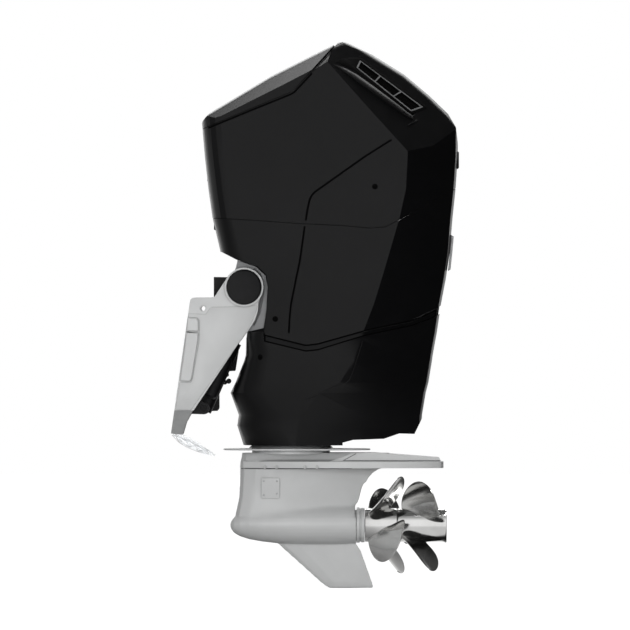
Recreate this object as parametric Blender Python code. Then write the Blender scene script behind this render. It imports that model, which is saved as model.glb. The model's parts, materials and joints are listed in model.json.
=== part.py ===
"""Outboard motor with a fixed cowl and a gearcase that steers below it, built piece by piece.

The frame: +X aft, +Y starboard, +Z up. The origin is where the transom's top edge meets the faces of the clamp
brackets, on the centre plane. Sizes are written in millimetres and turned to metres as each mesh is made.
"""

import math

import bmesh
import bpy
from mathutils import Matrix, Vector

MM = 0.001

# ---------------------------------------------------------------- driving dimensions, in millimetres
SHAFT_LENGTH = 635.0  # transom edge down to the underside of the anti-ventilation plate
COWL_RISE = 1070.0  # transom edge up to the cowl's peak
COWL_HALF_WIDTH = 308.0
COWL_WALL = 6.0
FIT_GAP = 0.3  # between pieces that touch
SEAM_GAP = 3.0  # between cowl panels
PIVOT = (220.0, 87.0)  # tilt axis, x and z
TILT_TUBE_RADIUS = 28.0
TRANSOM_RAKE = math.radians(8.15)
STEER_X = 407.0  # steering, crankshaft and drive shaft axis
STEER_NECK_RADIUS = 88.0
PROP_AXIS_DROP = 229.0  # propeller shaft below the anti-ventilation plate
BULLET_RADIUS = 76.0
BULLET_BORE = 62.0
BULLET_REAR_X = 701.0
SKEG_DROP = 481.0  # skeg tip below the anti-ventilation plate
FRONT_PROP_RADIUS = 204.0
REAR_PROP_RADIUS = 190.0
HUB_RADIUS = 68.0
HUB_WALL = 7.0
FRONT_HUB_LENGTH = 128.0
REAR_HUB_LENGTH = 196.0
INNER_SHAFT_RADIUS = 18.0
OUTER_SHAFT_RADIUS = 29.0
DRIVE_SHAFT_RADIUS = 16.0
PINION_PITCH = 30.0
GEAR_PITCH = 45.0
TOOTH = 3.2
GEAR_CLEARANCE = 1.2
CLAMP_INNER_Y = 150.0
CLAMP_THICK = 26.0
PIVOT_CAP_RADIUS = 70.0
PIVOT_BOSS_RADIUS = 78.0

# heights that follow from them
VENT_PLATE_Z = -SHAFT_LENGTH
STEER_Z = VENT_PLATE_Z + 80.0
WAIST_Z = -124.0
PROP_Z = VENT_PLATE_Z - PROP_AXIS_DROP

PORT, STARBOARD = -1, 1
SIDES = {"port": PORT, "starboard": STARBOARD}


def cowl_z(z):
    """A height drawn for a 1070 mm cowl, moved to the cowl's real rise."""
    return z * COWL_RISE / 1070.0 if z > 0 else z


def leg_z(z):
    """A height drawn for a steering plane at -555, stretched between the waist and the real one."""
    if z > WAIST_Z:
        return z
    return WAIST_Z + (z - WAIST_Z) * (STEER_Z - WAIST_Z) / (-555.0 - WAIST_Z)


COVER_BOTTOM = leg_z(-544.0)


def looked_up(table, at):
    """Straight-line lookup in a list of (position, value), held level past both ends."""
    if at <= table[0][0]:
        return table[0][1]
    for (low, first), (high, second) in zip(table, table[1:]):
        if at <= high:
            return first + (second - first) * (at - low) / (high - low)
    return table[-1][1]


# ---------------------------------------------------------------- scene, materials and bodies
for leftover in list(bpy.data.objects):
    bpy.data.objects.remove(leftover)


def material(name, colour, roughness, metallic):
    made = bpy.data.materials.new(name)
    made.use_nodes = True
    shader = made.node_tree.nodes["Principled BSDF"]
    shader.inputs["Base Color"].default_value = (*colour, 1.0)
    shader.inputs["Roughness"].default_value = roughness
    shader.inputs["Metallic"].default_value = metallic
    return made


SATIN_BLACK = material("satin_black_paint", (0.02, 0.02, 0.02), 0.38, 0.0)
SILVER_PAINT = material("silver_grey_paint", (0.44, 0.44, 0.44), 0.4, 0.2)
DARK_CASTING = material("dark_casting", (0.05, 0.05, 0.055), 0.6, 0.4)
BLACK_PLASTIC = material("black_plastic", (0.015, 0.015, 0.015), 0.55, 0.0)
BARE_ALUMINIUM = material("bare_aluminium", (0.6, 0.6, 0.6), 0.35, 1.0)
ANODE_ALLOY = material("anode_alloy", (0.28, 0.28, 0.28), 0.7, 0.3)
POLISHED_STEEL = material("polished_steel", (0.75, 0.74, 0.72), 0.08, 1.0)
GROUND_STEEL = material("ground_steel", (0.5, 0.5, 0.5), 0.3, 1.0)
RUBBER = material("rubber", (0.02, 0.02, 0.02), 0.8, 0.0)


def body(name, x=0.0, y=0.0, z=0.0):
    """An empty on a joint's axis, which carries the pieces that move together."""
    empty = bpy.data.objects.new(name, None)
    empty.location = Vector((x, y, z)) * MM
    bpy.context.scene.collection.objects.link(empty)
    return empty


# ---------------------------------------------------------------- shapes
def raw(name, points, faces):
    """An object of these points, in millimetres, with doubled points merged and faces turned outwards."""
    mesh = bpy.data.meshes.new(name)
    mesh.from_pydata([Vector(p) * MM for p in points], [], faces)
    shape = bmesh.new()
    shape.from_mesh(mesh)
    bmesh.ops.remove_doubles(shape, verts=shape.verts, dist=1e-6)
    bmesh.ops.recalc_face_normals(shape, faces=shape.faces)
    shape.to_mesh(mesh)
    shape.free()
    made = bpy.data.objects.new(name, mesh)
    bpy.context.scene.collection.objects.link(made)
    return made


def loft(name, loops, closed=False):
    """A skin over loops of equal length: capped at both ends, or joined end to end when closed."""
    count = len(loops[0])
    points = [p for loop in loops for p in loop]
    spans = len(loops) if closed else len(loops) - 1
    faces = []
    for i in range(spans):
        here, there = i * count, ((i + 1) % len(loops)) * count
        for j in range(count):
            k = (j + 1) % count
            faces.append((here + j, here + k, there + k, there + j))
    if not closed:
        faces.append(tuple(range(count)))
        faces.append(tuple(range((len(loops) - 1) * count, len(loops) * count)))
    return raw(name, points, faces)


def around(axis, centre, along, radius, angle):
    """A point at that place along an X, Y or Z axis through centre, turned by angle."""
    a, b = radius * math.cos(angle), radius * math.sin(angle)
    offset = {"X": (along, a, b), "Y": (a, along, b), "Z": (a, b, along)}[axis]
    return tuple(c + o for c, o in zip(centre, offset))


def turned(name, profile, axis, centre, steps=24, bored=False):
    """A lathe shape from (along, radius) points; bored joins the profile's ends, for a ring."""
    loops = [
        [around(axis, centre, along, radius, 2 * math.pi * i / steps) for i in range(steps)]
        for along, radius in profile
    ]
    return loft(name, loops, closed=bored)


def pipe(name, axis, centre, low, high, outer, inner, steps=24):
    """A plain tube from low to high along its axis."""
    profile = [(low, inner), (low, outer), (high, outer), (high, inner)]
    return turned(name, profile, axis, centre, steps, bored=True)


def rod(name, axis, centre, low, high, radius, steps=20):
    return turned(name, [(low, radius), (high, radius)], axis, centre, steps)


def slab(name, outline, low, high, across="Y"):
    """An outline extruded across Y from (x, z), across Z from (x, y), or across X from (y, z)."""
    place = {
        "Y": lambda a, b, c: (a, c, b),
        "Z": lambda a, b, c: (a, b, c),
        "X": lambda a, b, c: (c, a, b),
    }[across]
    return loft(name, [[place(a, b, c) for a, b in outline] for c in (low, high)])


def block(name, low, high):
    outline = [(low[0], low[1]), (high[0], low[1]), (high[0], high[1]), (low[0], high[1])]
    return slab(name, outline, low[2], high[2], across="Z")


def arc(centre, radius, start, end, steps):
    """Points on an arc, angles in degrees from the first axis."""
    found = []
    for i in range(steps + 1):
        angle = math.radians(start + (end - start) * i / steps)
        found.append((centre[0] + radius * math.cos(angle), centre[1] + radius * math.sin(angle)))
    return found


def helper(obj):
    """Keeps a cutter out of the render and the build."""
    obj.hide_render = True
    obj.display_type = "WIRE"
    return obj


def boolean(obj, operation, tools):
    for tool in tools:
        step = obj.modifiers.new(operation.title(), "BOOLEAN")
        step.operation = operation
        step.solver = "EXACT"
        step.object = helper(tool)
    return obj


def cut(obj, *tools):
    return boolean(obj, "DIFFERENCE", tools)


def join(obj, *tools):
    return boolean(obj, "UNION", tools)


def keep(obj, *tools):
    return boolean(obj, "INTERSECT", tools)


def settle(obj, finish, parent, smooth=30.0):
    """Gives a finished piece its material, its body and its shading."""
    obj.data.materials.append(finish)
    obj.parent = parent
    obj.matrix_parent_inverse = Matrix.Translation(-parent.location)
    obj.data.shade_smooth()
    obj.data.set_sharp_from_angle(angle=math.radians(smooth))
    return obj


def trimmed(obj, point, normal):
    """Cuts away what lies beyond a plane and closes the cut with one flat face."""
    shape = bmesh.new()
    shape.from_mesh(obj.data)
    found = bmesh.ops.bisect_plane(
        shape,
        geom=shape.verts[:] + shape.edges[:] + shape.faces[:],
        plane_co=Vector(point) * MM,
        plane_no=Vector(normal),
        dist=1e-7,
        clear_outer=True,
    )
    edges = [g for g in found["geom_cut"] if isinstance(g, bmesh.types.BMEdge)]
    bmesh.ops.contextual_create(shape, geom=edges)
    bmesh.ops.recalc_face_normals(shape, faces=shape.faces)
    shape.to_mesh(obj.data)
    shape.free()
    return obj


def grown(outline, by):
    """A closed outline moved outwards by a distance, with mitred corners."""
    count = len(outline)
    area = sum(
        outline[i][0] * outline[(i + 1) % count][1] - outline[(i + 1) % count][0] * outline[i][1]
        for i in range(count)
    )
    outward = by if area > 0 else -by
    found = []
    for i in range(count):
        before, here, after = (Vector(outline[(i + k) % count]) for k in (-1, 0, 1))
        first, second = (here - before).normalized(), (after - here).normalized()
        normal = Vector((first.y + second.y, -first.x - second.x))
        normal *= outward * 2.0 / max(normal.length_squared, 0.3)
        found.append(tuple(here + normal))
    return found


def raised(line, by):
    return [(x, z + by) for x, z in line]


def evaluated(obj, name):
    """A plain copy of an object with its modifiers applied; the object itself becomes a guide."""
    bpy.context.view_layer.update()
    mesh = bpy.data.meshes.new_from_object(obj.evaluated_get(bpy.context.evaluated_depsgraph_get()))
    made = bpy.data.objects.new(name, mesh)
    bpy.context.scene.collection.objects.link(made)
    helper(obj)
    return made


def leaned(obj, name, centre, degrees):
    """A copy turned about the Y line through centre; positive tips its top towards +X."""
    made = evaluated(obj, name)
    point = Vector(centre) * MM
    turn = Matrix.Rotation(math.radians(degrees), 4, "Y")
    made.data.transform(Matrix.Translation(point) @ turn @ Matrix.Translation(-point))
    return made


def mirrored(outline):
    """A half outline with y > 0, from front to rear, closed by its mirror image."""
    inner = [(x, -y) for x, y in reversed(outline) if y > 1e-6]
    return list(outline) + inner


# ---------------------------------------------------------------- bodies and their joint axes
CLAMP = body("clamp_frame")
ENGINE = body("engine_axis", x=PIVOT[0], z=PIVOT[1])
HOOD = body("upper_cowl_axis", x=600.0, z=cowl_z(350.0))
HATCH_HINGE = (579.0, cowl_z(1054.0))
HATCH = body("hatch_axis", x=HATCH_HINGE[0], z=HATCH_HINGE[1])
CRANK = body("crank_axis", x=STEER_X)
GEARCASE = body("steering_axis", x=STEER_X, z=STEER_Z)
DRIVE = body("drive_shaft_axis", x=STEER_X, z=PROP_Z)
REAR_PROP = body("rear_propeller_axis", x=930.0, z=PROP_Z)
FRONT_PROP = body("front_propeller_axis", x=766.0, z=PROP_Z)
RAM_LOW = (59.0, -396.0)
RAM_HIGH = (205.0, -65.0)
CYLINDER = body("tilt_cylinder_axis", x=RAM_LOW[0], z=RAM_LOW[1])
RAM = body("tilt_ram_axis", x=RAM_HIGH[0], z=RAM_HIGH[1])

for child, parent in (
    (ENGINE, CLAMP), (CYLINDER, CLAMP), (RAM, CYLINDER), (HOOD, ENGINE), (HATCH, HOOD),
    (CRANK, ENGINE), (GEARCASE, ENGINE), (DRIVE, GEARCASE), (REAR_PROP, GEARCASE), (FRONT_PROP, GEARCASE),
):
    child.parent = parent
    child.matrix_parent_inverse = Matrix.Translation(-parent.location)

# ---------------------------------------------------------------- the cowl's outer form
# height, front x, x of the edge between side and rear corner, rear x, half width
COWL_PLAN = [
    (-544.0, 221.0, 430.0, 925.0, 196.0),
    (-466.0, 196.0, 440.0, 930.0, 204.0),
    (-424.0, 202.0, 455.0, 931.0, 212.0),
    (-335.0, 169.0, 520.0, 946.0, 231.0),
    (-292.0, 190.0, 603.0, 957.0, 241.0),
    (-206.0, 224.0, 652.0, 971.0, 256.0),
    (-184.0, 230.0, 660.0, 974.0, 260.0),
    (-118.0, 232.0, 686.0, 986.0, 268.0),
    (-90.0, 236.0, 695.0, 991.0, 271.0),
    (20.0, 228.0, 737.0, 1007.0, 282.0),
    (120.0, 170.0, 768.0, 1026.0, 292.0),
    (228.0, 129.0, 800.0, 1042.0, 300.0),
    (364.0, 97.0, 839.0, 1053.0, 307.0),
    (476.0, 81.0, 864.0, 1065.0, 308.0),
    (610.0, 66.0, 871.0, 1074.0, 302.0),
    (776.0, 52.0, 873.0, 1076.0, 286.0),
    (1100.0, 35.0, 875.0, 1078.0, 252.0),
]
NOSE_LENGTH = [(-544.0, 185.0), (-300.0, 120.0), (-100.0, 80.0), (1100.0, 72.0)]
NOSE_SHARE = [(-544.0, 0.86), (-300.0, 0.6), (-100.0, 0.42), (1100.0, 0.38)]
SHOULDER_SHARE = [(-544.0, 1.0), (-300.0, 0.95), (-100.0, 0.9), (1100.0, 0.89)]
TAIL_SHARE = [(-544.0, 0.3), (-100.0, 0.42), (1100.0, 0.42)]
ROOF = [
    (55.0, 748.0), (78.0, 776.0), (330.0, 928.0), (613.0, 1070.0), (728.0, 1016.0), (858.0, 936.0),
    (958.0, 852.0), (1034.0, 779.0), (1065.0, 726.0), (1074.0, 657.0),
]
# three points on each sloping shoulder: beside the hatch, and behind the peak where the vents sit
FRONT_SHOULDER = [(78.0, 249.0, 749.0), (550.0, 266.0, 971.0), (550.0, 196.0, 1041.0)]
REAR_SHOULDER = [(553.0, 266.0, 966.0), (871.0, 300.0, 628.0), (760.0, 118.0, 1000.0)]
# where the swivel housing stands in the cowl's front, and the underside of the stern
RECESS = [
    (129.0, 228.0), (191.0, 196.0), (271.0, 172.0), (309.0, 137.0), (316.0, 88.0), (311.0, -4.0),
    (300.0, -80.0), (300.0, -92.0), (-50.0, -92.0), (-50.0, 228.5),
]
STERN_UNDERSIDE = [
    (613.0, -600.0), (613.0, -533.0), (655.0, -522.0), (778.0, -518.0), (839.0, -497.0), (900.0, -499.0),
    (930.0, -438.0), (1100.0, -425.0), (1100.0, -600.0),
]
REACH = COWL_HALF_WIDTH * 1.4  # past the cowl's side, for cutters that cross it
# seams, as (x, height) lines seen from the side
COWL_SEAM = [
    (-50.0, 363.0), (107.0, 361.0), (271.0, 352.0), (463.0, 338.0), (603.0, 332.0), (723.0, 321.0),
    (783.0, 326.0), (833.0, 352.0), (1063.0, 480.0), (1200.0, 556.0),
]
WAIST_UPPER = [
    (-50.0, -84.0), (299.0, -84.0), (304.0, -102.0), (466.0, -142.0), (515.0, -136.0), (710.0, -81.0),
    (888.0, -44.0), (965.0, -14.0), (1003.0, 12.0), (1200.0, 145.0),
]
WAIST_LOWER = [
    (-50.0, -89.0), (297.0, -89.0), (300.0, -130.0), (466.0, -170.0), (515.0, -165.0), (698.0, -108.0),
    (888.0, -68.0), (960.0, -42.0), (998.0, -22.0), (1200.0, 118.0),
]
HATCH_SEAM = [(-50.0, 673.0), (415.0, 866.0), (575.0, 1044.0), (640.0, 1200.0), (-50.0, 1200.0)]


def drawn_z(line):
    """Heights drawn on a 1070 mm cowl above a 25 inch leg, moved to the real sizes."""
    return [(x, cowl_z(leg_z(z))) for x, z in line]


def plan_ring(level, inset):
    """One horizontal outline of the cowl, drawn in from its surface by inset."""
    z, front, edge, rear, half = level
    front, rear = front + inset, rear - inset
    half = half * COWL_HALF_WIDTH / 308.0 - inset
    nose, drop = looked_up(NOSE_LENGTH, z), looked_up(NOSE_SHARE, z) * half
    shoulder, tail = looked_up(SHOULDER_SHARE, z) * half, looked_up(TAIL_SHARE, z) * half
    side = [(front - 4.0, 0.0)]
    for step in range(6):
        angle = math.radians(18.0 * step)
        side.append((front + nose * (1 - math.cos(angle)), shoulder - drop * (1 - math.sin(angle))))
    for along, out in ((0.35, 0.45), (0.7, 0.8), (1.0, 1.0)):
        side.append((front + nose + (edge - front - nose) * along, shoulder + (half - shoulder) * out))
    side.append((edge + (rear - edge) * 0.5, (half + tail) / 2 + 12.0))
    side.append((rear - 10.0, tail))
    side.append((rear - 2.0, tail * 0.5))
    side.append((rear, 0.0))
    return mirrored(side)


def outward_plane(points, inside):
    """A point and the unit normal of the plane through three points, pointing away from inside."""
    first, second, third = (Vector(p) for p in points)
    normal = (second - first).cross(third - first).normalized()
    if normal.dot(Vector(inside) - first) > 0:
        normal.negate()
    return first, normal


def at_real_size(points):
    return [(x, y * COWL_HALF_WIDTH / 308.0, cowl_z(z)) for x, y, z in points]


def cowl_form(name, inset):
    """The whole cowl as one solid, inset from its surface."""
    loops = []
    for level in COWL_PLAN:
        z = cowl_z(leg_z(level[0]))
        z = z + inset if level is COWL_PLAN[0] else z
        loops.append([(x, y, z) for x, y in plan_ring(level, inset)])
    form = loft(name, loops)
    inside = (500.0, 0.0, 0.0)
    roof = drawn_z(ROOF)
    planes = [
        outward_plane([(a[0], 0.0, a[1]), (b[0], 0.0, b[1]), (a[0], 1.0, a[1])], inside)
        for a, b in zip(roof, roof[1:])
    ]
    for points in (FRONT_SHOULDER, REAR_SHOULDER):
        for side in (PORT, STARBOARD):
            planes.append(outward_plane([(x, y * side, z) for x, y, z in at_real_size(points)], inside))
    for point, normal in planes:
        trimmed(form, point - normal * inset, normal)
    cut(form, slab(name + "_recess", grown(drawn_z(RECESS), inset), -REACH, REACH))
    cut(form, slab(name + "_stern", grown(drawn_z(STERN_UNDERSIDE), inset), -REACH, REACH))
    return form


def cowl_shell(name, outer_inset, inner_inset):
    outer = cowl_form(name + "_outer", outer_inset)
    inner = cowl_form(name + "_inner", inner_inset)
    return helper(evaluated(cut(outer, inner), name))


def region(name, outline, low, high):
    return slab(name + "_region", outline, low, high)


COWL_SHELL = cowl_shell("cowl_shell", 0.0, COWL_WALL)


def panel(name, outline, low=-REACH, high=REACH):
    """The part of the cowl's shell inside an outline seen from the side, between two y values."""
    made = evaluated(COWL_SHELL, name)
    return keep(made, region(name, outline, low, high))


def rear_shoulder_y(x, z):
    """How far out the sloping shoulder lies behind the peak, at a place seen from the side."""
    point, normal = outward_plane(at_real_size(REAR_SHOULDER), (500.0, 0.0, 0.0))
    return point.y - (normal.x * (x - point.x) + normal.z * (z - point.z)) / normal.y


VENT_OUTLINE = [(681.6, 991.0), (934.0, 805.0), (886.0, 787.0), (668.0, 961.0)]


def vent_prism(name, outline, side, low, high):
    """An outline seen from the side, pushed inwards from the sloping shoulder between two depths."""
    rings = [
        [(x, side * (rear_shoulder_y(x, z) - depth), z) for x, z in outline]
        for depth in (low, high)
    ]
    return loft(name, rings)


def upper_cowl():
    top = [(1200.0, cowl_z(1300.0)), (-50.0, cowl_z(1300.0))]
    hood = panel("upper_cowl", raised(drawn_z(COWL_SEAM), SEAM_GAP / 2) + top)
    cut(hood, slab("hatch_hole", grown(drawn_z(HATCH_SEAM), SEAM_GAP / 2), -REACH, REACH))
    for name, side in SIDES.items():
        cut(hood, vent_prism(name + "_vent_hole", grown(drawn_z(VENT_OUTLINE), FIT_GAP), side, -60.0, 60.0))
    settle(hood, SATIN_BLACK, HOOD)


def hatch():
    panel_made = panel("service_hatch", grown(drawn_z(HATCH_SEAM), -SEAM_GAP / 2))
    settle(panel_made, SATIN_BLACK, HATCH)


def service_tray():
    """The deck under the hatch, fitted to the cowl's inside, with the oil filler standing on its level step."""
    step_z = cowl_z(750.0)
    top = [(112.0, cowl_z(708.0)), (214.0, step_z), (332.0, step_z), (405.0, cowl_z(826.0)), (548.0, cowl_z(985.0))]
    under = [(x + 4.0, z - 8.0) for x, z in reversed(top)]
    tray = slab("service_tray", top + under, -REACH, REACH)
    keep(tray, cowl_form("tray_room", COWL_WALL + FIT_GAP))
    settle(tray, BLACK_PLASTIC, HOOD)
    foot = step_z + FIT_GAP
    profile = [(foot, 21.0), (foot + 14.0, 21.0), (foot + 14.5, 29.0), (foot + 27.0, 27.0)]
    settle(turned("oil_filler_cap", profile, "Z", (272.0, 0.0, 0.0), 20), BLACK_PLASTIC, HOOD)


def panel_seals():
    """Rubber strips in the gaps round the hatch and under the upper cowl."""
    source = cowl_shell("seal_source", 2.5, 15.0)
    grip = SEAM_GAP / 2 - FIT_GAP
    seam = drawn_z(COWL_SEAM)
    strip = evaluated(source, "cowl_seal")
    keep(strip, region("cowl_seal", raised(seam, -grip) + list(reversed(raised(seam, grip))), -REACH, REACH))
    settle(strip, RUBBER, ENGINE)
    strip = evaluated(source, "hatch_seal")
    keep(strip, region("hatch_seal", grown(drawn_z(HATCH_SEAM), grip), -REACH, REACH))
    cut(strip, slab("hatch_seal_inside", grown(drawn_z(HATCH_SEAM), -grip), -REACH * 2, REACH * 2))
    settle(strip, RUBBER, HOOD)


def air_vents():
    """A silver frame with three slots, let into each rear shoulder."""
    outline = drawn_z(VENT_OUTLINE)
    for name, side in SIDES.items():
        vent = vent_prism(name + "_air_vent", outline, side, -1.5, 46.0)
        front_top, rear_top, rear_low, front_low = (Vector(p) for p in outline)
        for number, (start, end) in enumerate(((0.022, 0.318), (0.338, 0.652), (0.672, 0.978))):
            slot = []
            for share, rise in ((start, 0.9), (end, 0.9), (end, 0.1), (start, 0.1)):
                low = front_low.lerp(rear_low, share)
                slot.append(tuple(low.lerp(front_top.lerp(rear_top, share), rise)))
            cut(vent, vent_prism(f"{name}_vent_slot_{number}", slot, side, -20.0, 60.0))
        settle(vent, BARE_ALUMINIUM, HOOD)


def lower_cowls():
    lower = list(reversed(drawn_z(WAIST_UPPER)))
    outline = raised(drawn_z(COWL_SEAM), -SEAM_GAP / 2) + lower
    for name, side in SIDES.items():
        low, high = sorted((side * SEAM_GAP / 4, side * REACH))
        half = panel(name + "_lower_cowl", outline, low, high)
        opening = block(name + "_mount_opening", (250.0, -MOUNT_HALF - 4.0, -64.0), (340.0, MOUNT_HALF + 4.0, 154.0))
        cut(half, opening)
        settle(half, SATIN_BLACK, ENGINE)


def mid_covers():
    bottom = [(1200.0, -900.0), (-50.0, -900.0)]
    for name, side in SIDES.items():
        low, high = sorted((side * SEAM_GAP / 4, side * REACH))
        half = panel(name + "_mid_cover", drawn_z(WAIST_LOWER) + bottom, low, high)
        cut(half, rod(name + "_neck_hole", "Z", (STEER_X, 0.0, 0.0), STEER_Z - 60.0, STEER_Z + 60.0, 128.0, 32))
        settle(half, SATIN_BLACK, ENGINE)


def waist_seal():
    band = cowl_shell("waist_band_source", 5.0, 16.0)
    outline = raised(drawn_z(WAIST_UPPER), -0.5) + list(reversed(raised(drawn_z(WAIST_LOWER), 0.5)))
    seal = evaluated(band, "waist_seal")
    keep(seal, region("waist_seal", outline, -REACH, REACH))
    settle(seal, RUBBER, ENGINE)


def rear_grip_plate():
    """The flat handle plate on the back of the lower cowl."""
    inner = [(1035.4, 152.0), (1042.5, 228.0), (1048.2, 296.0)]
    outer = [(x + 9.0, z + rise) for (x, z), rise in zip(reversed(inner), (-6.0, 0.0, 6.0))]
    plate = slab("rear_grip_plate", drawn_z(inner + outer), -56.0, 56.0)
    settle(plate, SILVER_PAINT, ENGINE)


# ---------------------------------------------------------------- clamp brackets, tilt tube and tilt ram
MOUNT_HALF = CLAMP_INNER_Y - 36.0
BOSS_REAR_X = 330.3
CLAMP_OUTER_Y = CLAMP_INNER_Y + CLAMP_THICK
PAD_OUTER_Y = CLAMP_OUTER_Y + 9.0
ANODE_TOP = -404.0
CAP_OUTER_Y = CLAMP_OUTER_Y + 20.0
PIN_RADIUS = 14.0
EYE_RADIUS = 25.0
FORK_HALF = 50.0


def transom_x(z, away=0.0):
    """The transom's raked face, moved aft by away."""
    return z * math.tan(TRANSOM_RAKE) + away


def tab_corner():
    """The rounded top corner of the bracket, where its bolt tab meets the transom."""
    return [(transom_x(28.0), 28.0), (transom_x(38.0, 1.6), 38.0), (transom_x(44.0, 7.0), 44.0),
            (transom_x(46.0, 18.0), 46.0)]


def clamp_outline():
    boss = arc(PIVOT, PIVOT_BOSS_RADIUS, 114.0, -2.0, 10)
    return (
        tab_corner() + [(101.6, 47.0), (152.0, 124.0)]
        + boss
        + [(276.5, 24.0), (275.8, -8.0), (263.0, -44.0), (239.0, -83.0), (197.0, -139.0)]
        + [(17.6 + (ANODE_TOP + 406.0) * 0.67, ANODE_TOP), (transom_x(ANODE_TOP), ANODE_TOP)]
    )


BOLT_PADS = {
    "upper_bolt_pad": [(-5.0, -37.0), (31.0, -37.0), (38.0, -48.0), (39.0, -88.8), (-9.5, -88.0)],
    "lower_bolt_pad": [(-9.5, -94.4), (38.5, -95.2), (36.4, -124.0), (11.6, -278.4), (4.4, -288.8), (-36.0, -286.4)],
}


def clamp_brackets():
    for name, side in SIDES.items():
        low, high = sorted((side * CLAMP_INNER_Y, side * CLAMP_OUTER_Y))
        bracket = slab(name + "_clamp_bracket", clamp_outline(), low, high)
        pad_low, pad_high = sorted((side * (CLAMP_INNER_Y - 8.0), side * CLAMP_OUTER_Y))
        flange = tab_corner() + [
            (transom_x(46.0, 44.0), 46.0), (transom_x(-40.0, 42.0), -40.0),
            (transom_x(-288.0, 48.0), -288.0), (transom_x(ANODE_TOP, 26.0), ANODE_TOP),
            (transom_x(ANODE_TOP), ANODE_TOP),
        ]
        join(bracket, slab(name + "_transom_flange", flange, pad_low, pad_high))
        for label, outline in BOLT_PADS.items():
            low, high = sorted((side * (CLAMP_OUTER_Y - 1.0), side * PAD_OUTER_Y))
            join(bracket, slab(f"{name}_{label}", outline, low, high))
        low, high = sorted((side * CLAMP_INNER_Y, side * CLAMP_OUTER_Y))
        cap_low, cap_high = sorted((side * CLAMP_OUTER_Y - side, side * (CLAMP_OUTER_Y + 12.0)))
        centre = (PIVOT[0], 0.0, PIVOT[1])
        join(bracket, pipe(name + "_boss_rim", "Y", centre, cap_low, cap_high, 77.5, PIVOT_CAP_RADIUS + 0.8, 40))
        bores = (
            ("tube_bore", centre, TILT_TUBE_RADIUS + 0.6),
            ("bolt_hole", (57.0, 0.0, 2.0), 10.0),
        )
        for label, place, radius in bores:
            bore_low, bore_high = sorted((side * (CLAMP_INNER_Y - 20.0), side * (CLAMP_OUTER_Y + 60.0)))
            cut(bracket, rod(f"{name}_{label}", "Y", place, bore_low, bore_high, radius, 24))
        settle(bracket, SILVER_PAINT, CLAMP)

        foot = [
            (transom_x(ANODE_TOP - FIT_GAP), ANODE_TOP - FIT_GAP), (17.0, ANODE_TOP - FIT_GAP),
            (-10.4, -453.6), (-24.4, -501.0), (transom_x(-496.0), -496.0),
        ]
        settle(slab(name + "_bracket_anode", foot, low, high), ANODE_ALLOY, CLAMP)

        profile = [
            (side * (CLAMP_OUTER_Y + FIT_GAP), PIVOT_CAP_RADIUS), (side * (CAP_OUTER_Y - 4.0), PIVOT_CAP_RADIUS),
            (side * CAP_OUTER_Y, PIVOT_CAP_RADIUS - 5.0), (side * CAP_OUTER_Y, 22.0),
            (side * (CAP_OUTER_Y - 3.0), 18.0),
        ]
        settle(turned(name + "_pivot_cap", profile, "Y", centre, 40), BLACK_PLASTIC, CLAMP)

        blade = [(-68.0, -501.6), (-26.0, -501.6), (30.0, -530.0), (104.0, -586.0), (60.0, -580.0), (-20.0, -545.0)]
        blade_low, blade_high = sorted((side * (CLAMP_INNER_Y + 8.0), side * (CLAMP_INNER_Y + 12.0)))
        settle(slab(name + "_spray_blade", blade, blade_low, blade_high), BLACK_PLASTIC, CLAMP)


def tilt_tube_and_pins():
    centre = (PIVOT[0], 0.0, PIVOT[1])
    reach = CLAMP_OUTER_Y
    tube = pipe("tilt_tube", "Y", centre, -reach, reach, TILT_TUBE_RADIUS, TILT_TUBE_RADIUS - 9.0, 24)
    settle(tube, GROUND_STEEL, CLAMP)
    low = (RAM_LOW[0], 0.0, RAM_LOW[1])
    reach = CLAMP_INNER_Y - FIT_GAP
    settle(rod("lower_ram_pin", "Y", low, -reach, reach, PIN_RADIUS, 20), GROUND_STEEL, CLAMP)
    x, z = RAM_LOW
    outline = [(x - 62.0, z + 44.0), (x - 30.0, z + 44.0), (x - 4.0, z + 24.0), (x + 17.0, z + 17.0),
               (x + 24.0, z), (x + 17.0, z - 17.0), (x, z - 24.0), (x - 62.0, z - 22.0)]
    anchor = slab("ram_anchor", outline, -reach, reach)
    cut(anchor, block("anchor_slot", (x - 40.0, -46.0, z - 60.0), (x + 60.0, 46.0, z + 70.0)))
    cut(anchor, rod("anchor_bore", "Y", low, -reach - 20.0, reach + 20.0, PIN_RADIUS + 0.6, 20))
    settle(anchor, DARK_CASTING, CLAMP)


def swivel_housing():
    outline = [
        (194.0, 194.0), (270.0, 167.0), (306.0, 132.0), (314.0, 88.0), (309.0, -4.0), (298.0, -76.0),
        (234.0, -91.0), (182.0, -86.0), (164.0, -20.0), (162.0, 40.0), (162.0, 128.0), (176.0, 139.0), (187.0, 164.0),
    ]
    half = CLAMP_INNER_Y - 12.0
    housing = slab("swivel_housing", [(x, cowl_z(z)) if z > 140 else (x, z) for x, z in outline], -half, half)
    join(housing, block("swivel_rear_boss", (290.0, -MOUNT_HALF, -58.0), (BOSS_REAR_X - FIT_GAP, MOUNT_HALF, 148.0)))
    for side in (PORT, STARBOARD):
        low, high = sorted((side * (half - 1.0), side * (CLAMP_INNER_Y - FIT_GAP * 2)))
        join(housing, rod("swivel_thrust_face", "Y", (PIVOT[0], 0.0, PIVOT[1]), low, high, 52.0, 24))
    cut(housing, rod("swivel_bore", "Y", (PIVOT[0], 0.0, PIVOT[1]), -200.0, 200.0, TILT_TUBE_RADIUS + 0.6, 24))
    cut(housing, block("fork_slot", (120.0, -FORK_HALF, -130.0), (262.0, FORK_HALF, 6.0)))
    settle(housing, SILVER_PAINT, ENGINE)
    front = [(98.8, 48.0), (161.7, 52.0), (161.7, 127.0), (98.8, 128.0)]
    settle(slab("swivel_front_block", front, -92.0, 92.0), DARK_CASTING, ENGINE)


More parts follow.
